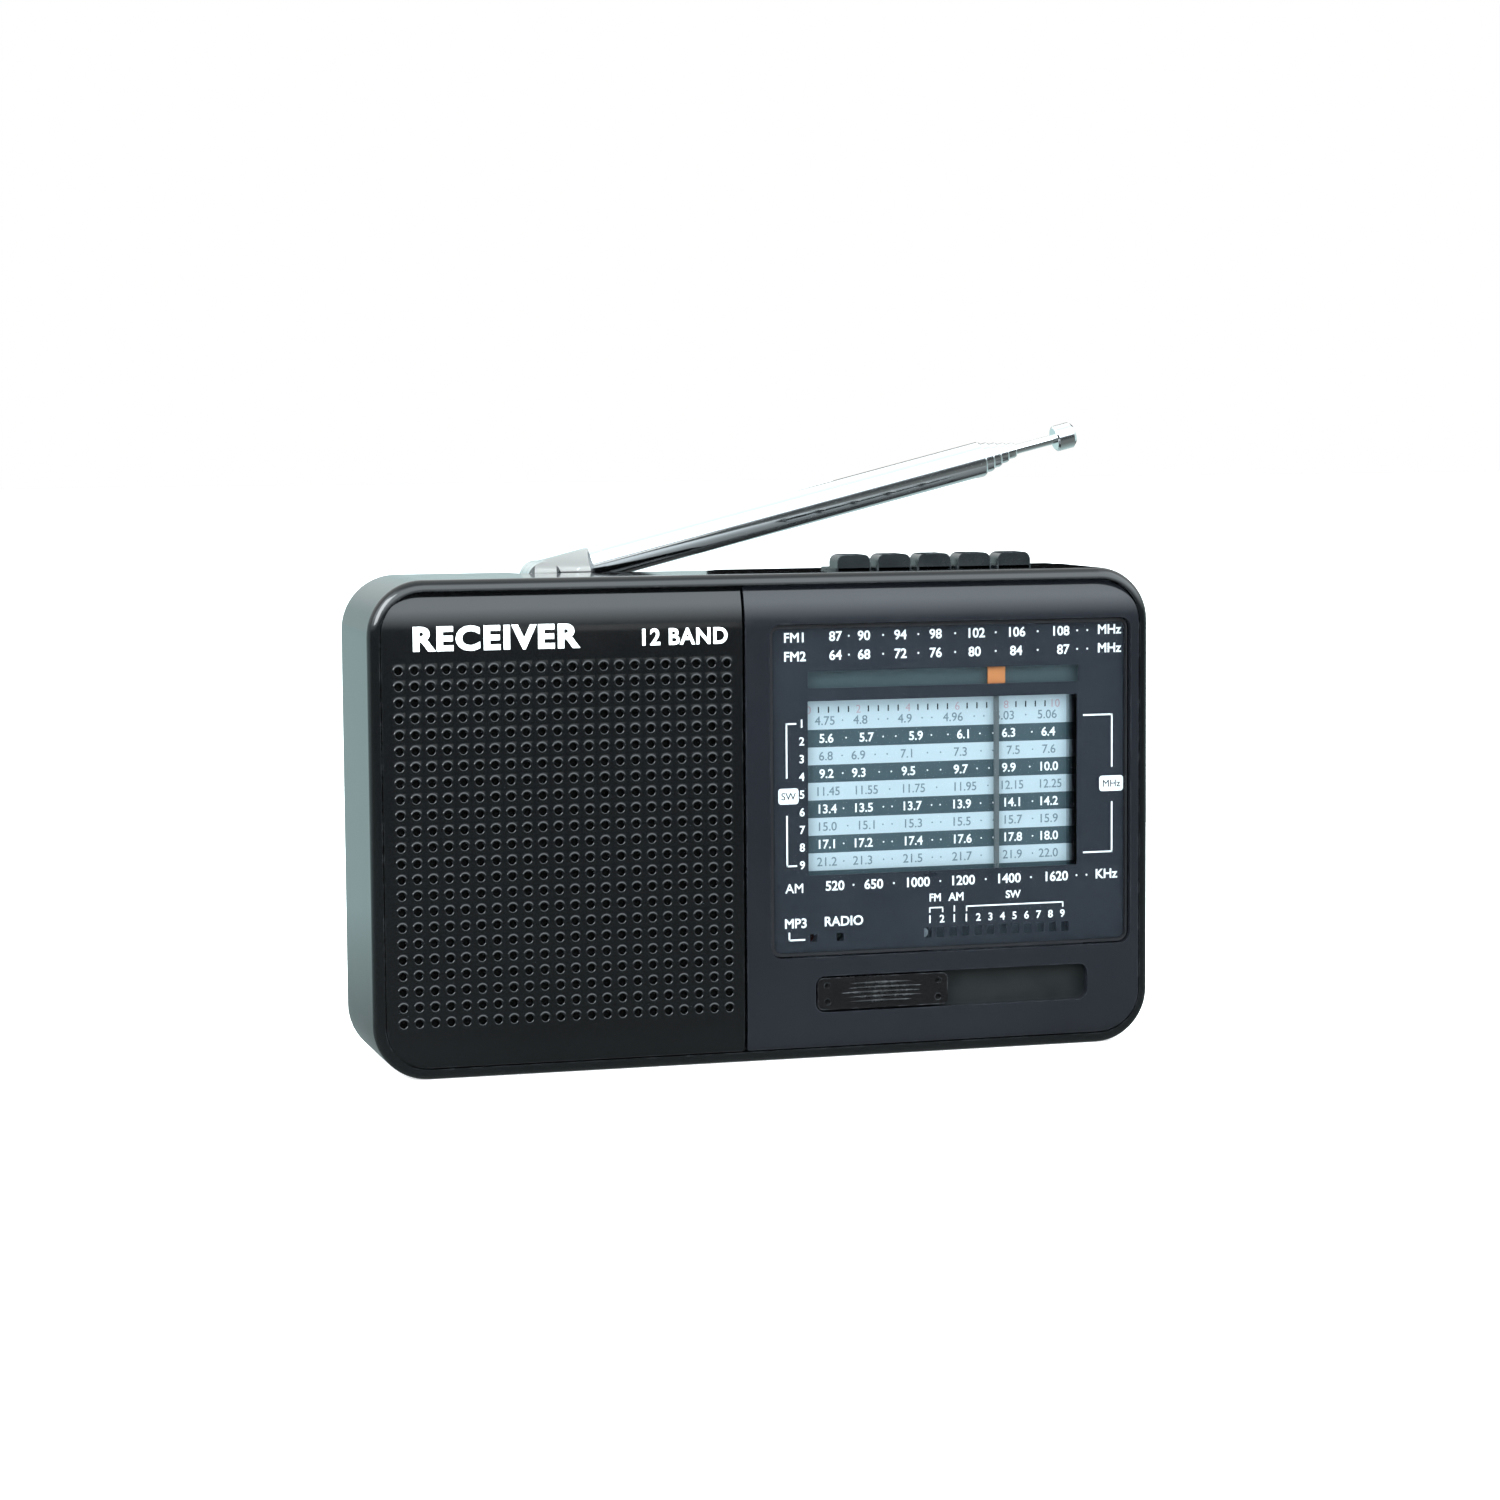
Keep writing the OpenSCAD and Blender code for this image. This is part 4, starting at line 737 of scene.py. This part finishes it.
def front_names():
    """Generic words on the grille panel, in place of a maker's and a model's name."""
    bm = bmesh.new()
    letters(bm, "RECEIVER", -45.65, 70.7, 3.5, FRONT_Y, weight=0.06, stretch=1.1, spacing=1.14)
    letters(bm, "12 BAND", -14.7, 70.2, 2.5, FRONT_Y, weight=0.035, stretch=0.95, spacing=1.08)
    ink("front_names", bm, WHITE_INK, "panel_black")


# ---------------------------------------------------------------- Band slider and its pointer

SLIDER_LOW, SLIDER_HIGH = mm_box("band_slider")
SLIDER_FACE_Y = -14.75
SLIDER_RIB_H = 0.22


def slider_knob():
    """A flat knob with long lens-shaped ridges in the middle and two dimples at each end."""
    x0, x1 = SLIDER_LOW[0], SLIDER_HIGH[0]
    z0, z1 = SLOT[1] + 0.35, SLOT[3] - 0.35
    mid_x, mid_z = (x0 + x1) / 2, (z0 + z1) / 2
    bm = bmesh.new()
    dimples = [(mid_x + sx * 9.6, mid_z + sz * 1.35) for sx in (-1, 1) for sz in (-1, 1)]
    thick(bm, [rounded(x0, z0, x1, z1, 1.0)] + [circle(x, z, 0.5, 24) for x, z in dimples],
          SLIDER_FACE_Y, SLIDER_FACE_Y + 0.6)
    thick(bm, [rounded(x0, z0, x1, z1, 1.0)], SLIDER_FACE_Y + 0.6, SLOT_FLOOR_Y - 0.05)
    piece("slider_knob", bm, SLIDER, "slider", "slider_plastic", bevel=0.16,
          replaces=("band_slider",))
    ribs = bmesh.new()
    for k, (length, z) in enumerate(((11, 1.5), (13, 0.75), (14, 0), (13, -0.75), (11, -1.5))):
        shift = 0.4 if k % 2 else -0.4
        rows = []
        for i in range(25):
            t = i / 24 * 2 - 1
            swell = max(0.0, 1 - t * t) ** 0.7
            cx = mid_x + shift + t * length / 2
            rows.append([(cx, mid_z + z - 0.24 * swell, 0.0), (cx, mid_z + z, SLIDER_RIB_H * swell),
                         (cx, mid_z + z + 0.24 * swell, 0.0)])
        ends = (rows[0], rows[-1])
        verts = []
        for row in rows:
            if row in ends:
                verts.append([ribs.verts.new((row[0][0] * MM, (SLIDER_FACE_Y + 0.01) * MM,
                                              row[1][1] * MM))])
            else:
                verts.append([ribs.verts.new((a * MM, (SLIDER_FACE_Y + 0.01 - h) * MM, b * MM))
                              for a, b, h in row])
        for first, second in zip(verts, verts[1:]):
            for i in range(3):
                j = (i + 1) % 3
                quad = [first[i % len(first)], first[j % len(first)], second[j % len(second)],
                        second[i % len(second)]]
                face = list(dict.fromkeys(quad))
                if len(face) > 2:
                    ribs.faces.new(face)
    bmesh.ops.recalc_face_normals(ribs, faces=ribs.faces[:])
    piece("slider_ridges", ribs, SLIDER, "slider", "slider_plastic", angle=60)
    spot = bmesh.new()
    thick(spot, [circle(BAND_X + 0.05, BAND_Z - 0.25, 0.8, 40)], -12.7, -12.64)
    piece("band_spot", spot, WHITE_INK, "slider", "white_nylon")


# ---------------------------------------------------------------- Keys

KEYS = ("play_key", "back_key", "next_key", "mode_key", "repeat_key")
KEY_SIDE = 0.22
KEY_STEP_Z = 80.4
KEY_BAR_D = 4.6
KEY_R = 1.25


def key_caps():
    """Each key is a flat foot with a raised bar along its front, round at its upper corners."""
    for name in KEYS:
        low, high = mm_box(name)
        x0, x1 = low[0] + KEY_SIDE, high[0] - KEY_SIDE
        bm = bmesh.new()
        thick(bm, [rounded(x0, KEY_STEP_Z - 1, x1, high[2], (0, KEY_R, KEY_R, 0), 6)],
              low[1], low[1] + KEY_BAR_D)
        foot = bmesh.new()
        thick(foot, [rounded(low[0], low[1], high[0], high[1], 0.4, 4)], low[2], KEY_STEP_Z, "top")
        body = name + "_cap"
        piece(name + "_foot", foot, KEY, body, "key_plastic", bevel=0.25, replaces=(name,))
        piece(name + "_bar", bm, KEY, body, "key_plastic", bevel=0.4, steps=4)


# ---------------------------------------------------------------- Stage, light and camera

def glow_paint(colour, strength=1.0):
    """A plain emitting material for a card that only reflections see."""
    material = bpy.data.materials.new("card")
    material.use_nodes = True
    tree = material.node_tree
    tree.nodes.remove(tree.nodes["Principled BSDF"])
    glow = add(tree, "Emission", Color=colour, Strength=strength)
    tree.links.new(glow.outputs[0], tree.nodes["Material Output"].inputs["Surface"])
    return material


def card(name, centre, size, turn, material):
    """A flat card on the stage, in metres. Only reflections and light see it."""
    bm = bmesh.new()
    w, h = size[0] / 2, size[1] / 2
    bm.faces.new([bm.verts.new(c) for c in ((-w, -h, 0), (w, -h, 0), (w, h, 0), (-w, h, 0))])
    mesh = bpy.data.meshes.new(name)
    bm.to_mesh(mesh)
    bm.free()
    mesh.materials.append(material)
    made = bpy.data.objects.new(name, mesh)
    made.location = centre
    made.rotation_euler = [math.radians(a) for a in turn]
    made.visible_camera = False
    bpy.context.scene.collection.objects.link(made)
    return made


def soft_box(name, centre, target, size, power, colour=(1, 1, 1), mirrored=True):
    lamp = bpy.data.lights.new(name, "AREA")
    lamp.shape = "RECTANGLE"
    lamp.size, lamp.size_y = size
    lamp.energy = power
    lamp.color = colour
    made = bpy.data.objects.new(name, lamp)
    made.location = centre
    aim = Vector(target) - Vector(centre)
    made.rotation_euler = aim.to_track_quat("-Z", "Y").to_euler()
    made.visible_glossy = mirrored
    bpy.context.scene.collection.objects.link(made)
    return made


def stage_floor_paint():
    """A white floor. Glossy rays see a painted reflection in its place: a dark glow in front of the
    object that turns pale teal behind it.
    """
    paint = bpy.data.materials.new("floor_paint")
    paint.use_nodes = True
    tree = paint.node_tree
    shader = tree.nodes["Principled BSDF"]
    shader.inputs["Base Color"].default_value = (0.9, 0.92, 0.92, 1)
    shader.inputs["Roughness"].default_value = 0.9
    shader.inputs["Emission Color"].default_value = (1, 1, 1, 1)
    path = add(tree, "LightPath")
    lift = arithmetic(tree, "MULTIPLY", path.outputs["Is Camera Ray"], 0.6)
    tree.links.new(lift, shader.inputs["Emission Strength"])
    split = add(tree, "SeparateXYZ")
    tree.links.new(add(tree, "TexCoord").outputs["Object"], split.inputs[0])
    # Painted reflection: the colour that glossy rays see on the floor, dark near the front and pale
    # behind.
    near = spread(tree, split.outputs["Y"], 0, 1, -0.4, -0.15)
    front = blend_colours(tree, near, (0.06, 0.067, 0.07, 1), (0.15, 0.165, 0.165, 1))
    amount = spread(tree, split.outputs["Y"], 0, 1, -0.05, 0.2)
    tone = blend_colours(tree, amount, front, (0.55, 0.74, 0.75, 1))
    mirrored = add(tree, "Emission")
    tree.links.new(tone, mirrored.inputs["Color"])
    mix = add(tree, "MixShader")
    tree.links.new(path.outputs["Is Glossy Ray"], mix.inputs[0])
    tree.links.new(shader.outputs[0], mix.inputs[1])
    tree.links.new(mirrored.outputs[0], mix.inputs[2])
    tree.links.new(mix.outputs[0], tree.nodes["Material Output"].inputs["Surface"])
    return paint


def stage():
    bpy.context.scene.view_settings.view_transform = "Standard"
    world = bpy.data.worlds.new("studio")
    bpy.context.scene.world = world
    world.use_nodes = True
    world.cycles.sampling_method = "NONE"
    tree = world.node_tree
    back = tree.nodes["Background"]
    back.inputs["Color"].default_value = (1, 1, 1, 1)
    back.inputs["Strength"].default_value = 1.0
    room = add(tree, "Background", Strength=1.0)
    place = add(tree, "TexCoord").outputs["Generated"]
    split = add(tree, "SeparateXYZ")
    tree.links.new(place, split.inputs[0])
    above = spread(tree, split.outputs["Z"], 0, 1, 0.0, 0.5)
    front = blend_colours(tree, above, (0.16, 0.18, 0.19, 1), (2.6, 2.8, 2.9, 1))
    behind = spread(tree, split.outputs["Y"], 0, 1, -0.1, 0.15)
    tone = blend_colours(tree, behind, front, (0.9, 1.0, 1.02, 1))
    path = add(tree, "LightPath")
    rising = spread(tree, split.outputs["Z"], 0, 1, 0.08, 0.42)
    falling = spread(tree, split.outputs["Z"], 1, 0.2, 0.8, 0.95)
    panel = blend_colours(tree, arithmetic(tree, "MULTIPLY", rising, falling),
                          (0.1, 0.11, 0.12, 1), (4.4, 4.9, 5.2, 1))
    high = spread(tree, split.outputs["Z"], 0, 1, 0.1, 0.35)
    wall = blend_colours(tree, high, (0.58, 0.73, 0.74, 1), (1.15, 1.2, 1.2, 1))
    mirrored = blend_colours(tree, behind, panel, wall)
    tone = blend_colours(tree, path.outputs["Is Glossy Ray"], tone, mirrored)
    tree.links.new(tone, room.inputs["Color"])
    mix = add(tree, "MixShader")
    tree.links.new(path.outputs["Is Camera Ray"], mix.inputs[0])
    tree.links.new(room.outputs[0], mix.inputs[1])
    tree.links.new(back.outputs[0], mix.inputs[2])
    tree.links.new(mix.outputs[0], tree.nodes["World Output"].inputs["Surface"])
    floor_paint = stage_floor_paint()
    bm = bmesh.new()
    size = 6
    bm.faces.new([bm.verts.new(c) for c in ((-size, -size, 0), (size, -size, 0),
                                            (size, size, 0), (-size, size, 0))])
    mesh = bpy.data.meshes.new("floor")
    bm.to_mesh(mesh)
    bm.free()
    mesh.materials.append(floor_paint)
    floor = bpy.data.objects.new("floor", mesh)
    bpy.context.scene.collection.objects.link(floor)
    soft_box("top_light", (0.15, -0.35, 1.1), (0, 0, 0.04), (1.3, 0.9), 26, (0.95, 0.98, 1),
             mirrored=False)
    soft_box("key_light", (-0.9, -0.75, 0.75), (0, 0, 0.04), (0.7, 0.9), 26, (0.93, 0.98, 1))
    soft_box("fill_light", (0.95, -0.7, 0.5), (0, 0, 0.04), (0.5, 0.8), 10, mirrored=False)
    card("aerial_card", (0.045, -0.3, 0.085), (0.06, 0.03), (90, 0, 0),
         glow_paint((1.2, 1.25, 1.25, 1)))
    card("black_card", (0.24, 0.3, 0.1), (0.33, 0.3), (90, 0, 0),
         glow_paint((0.004, 0.004, 0.004, 1)))


# The camera's place in metres, and its right, up and backward directions.
CAMERA_AT = (-0.16538, -0.58349, 0.10394)
CAMERA_AXES = ((0.9616, -0.2742, -0.0073), (0.0313, 0.0831, 0.9961), (-0.2725, -0.9581, 0.0885))
CAMERA_LENS = 87.63


def camera():
    data = bpy.data.cameras.new("camera")
    data.lens = CAMERA_LENS
    data.sensor_width = 36
    data.clip_start = 0.01
    made = bpy.data.objects.new("camera", data)
    turn = Matrix([list(row) for row in zip(*CAMERA_AXES)]).to_4x4()
    made.matrix_world = Matrix.Translation(CAMERA_AT) @ turn
    bpy.context.scene.collection.objects.link(made)
    bpy.context.scene.camera = made


# ---------------------------------------------------------------- CAD pieces that are shown as they are

CARRIED = {
    CASE: ("front_frame", "rear_shell", "battery_door"),
    CLOTH: ("dust_cloth",),
    MOULDED: ("dial_tray", "volume_control", "tact_switches", "earphone_socket"),
    BATTERY: ("battery_pack",),
    BRASS: ("battery_contacts",),
    STEEL: ("speaker_frame", "speaker_screws", "board_screws", "case_screws", "tuning_shaft",
            "volume_shaft", "pointer_rail", "band_switch", "usb_socket", "card_socket",
            "aerial_screw"),
    PAPER: ("speaker_cone",),
    FERRITE: ("speaker_magnet", "ferrite_rod"),
    BOARD: ("main_board", "key_board", "socket_board"),
    IVORY: ("tuning_capacitor",),
    WHEEL: ("tuning_wheel", "volume_wheel"),
    NYLON: ("cord_pulley", "ferrite_clips"),
    STRING: ("dial_cord",),
    ORANGE: ("pointer_carriage",),
    NEEDLE: ("tuning_needle",),
    SLIDER: ("band_pointer",),
    RED_LAMP: ("mp3_lamp",),
    GREEN_LAMP: ("radio_lamp",),
    COPPER: ("aerial_coil",),
    CHROME: ("aerial_swivel", "hinge_pin", "aerial_tube_1", "aerial_tube_2", "aerial_tube_3",
             "aerial_tube_4", "aerial_tube_5", "aerial_rod", "aerial_tip"),
}


def dress_cad():
    for material, names in CARRIED.items():
        for name in names:
            mesh = nodes[name].data
            mesh.materials.clear()
            mesh.materials.append(material)


dress_cad()
grille_panel()
dial_panel()
dial_window()
lens_lettering()
dial_card()
front_names()
slider_knob()
key_caps()
stage()
camera()
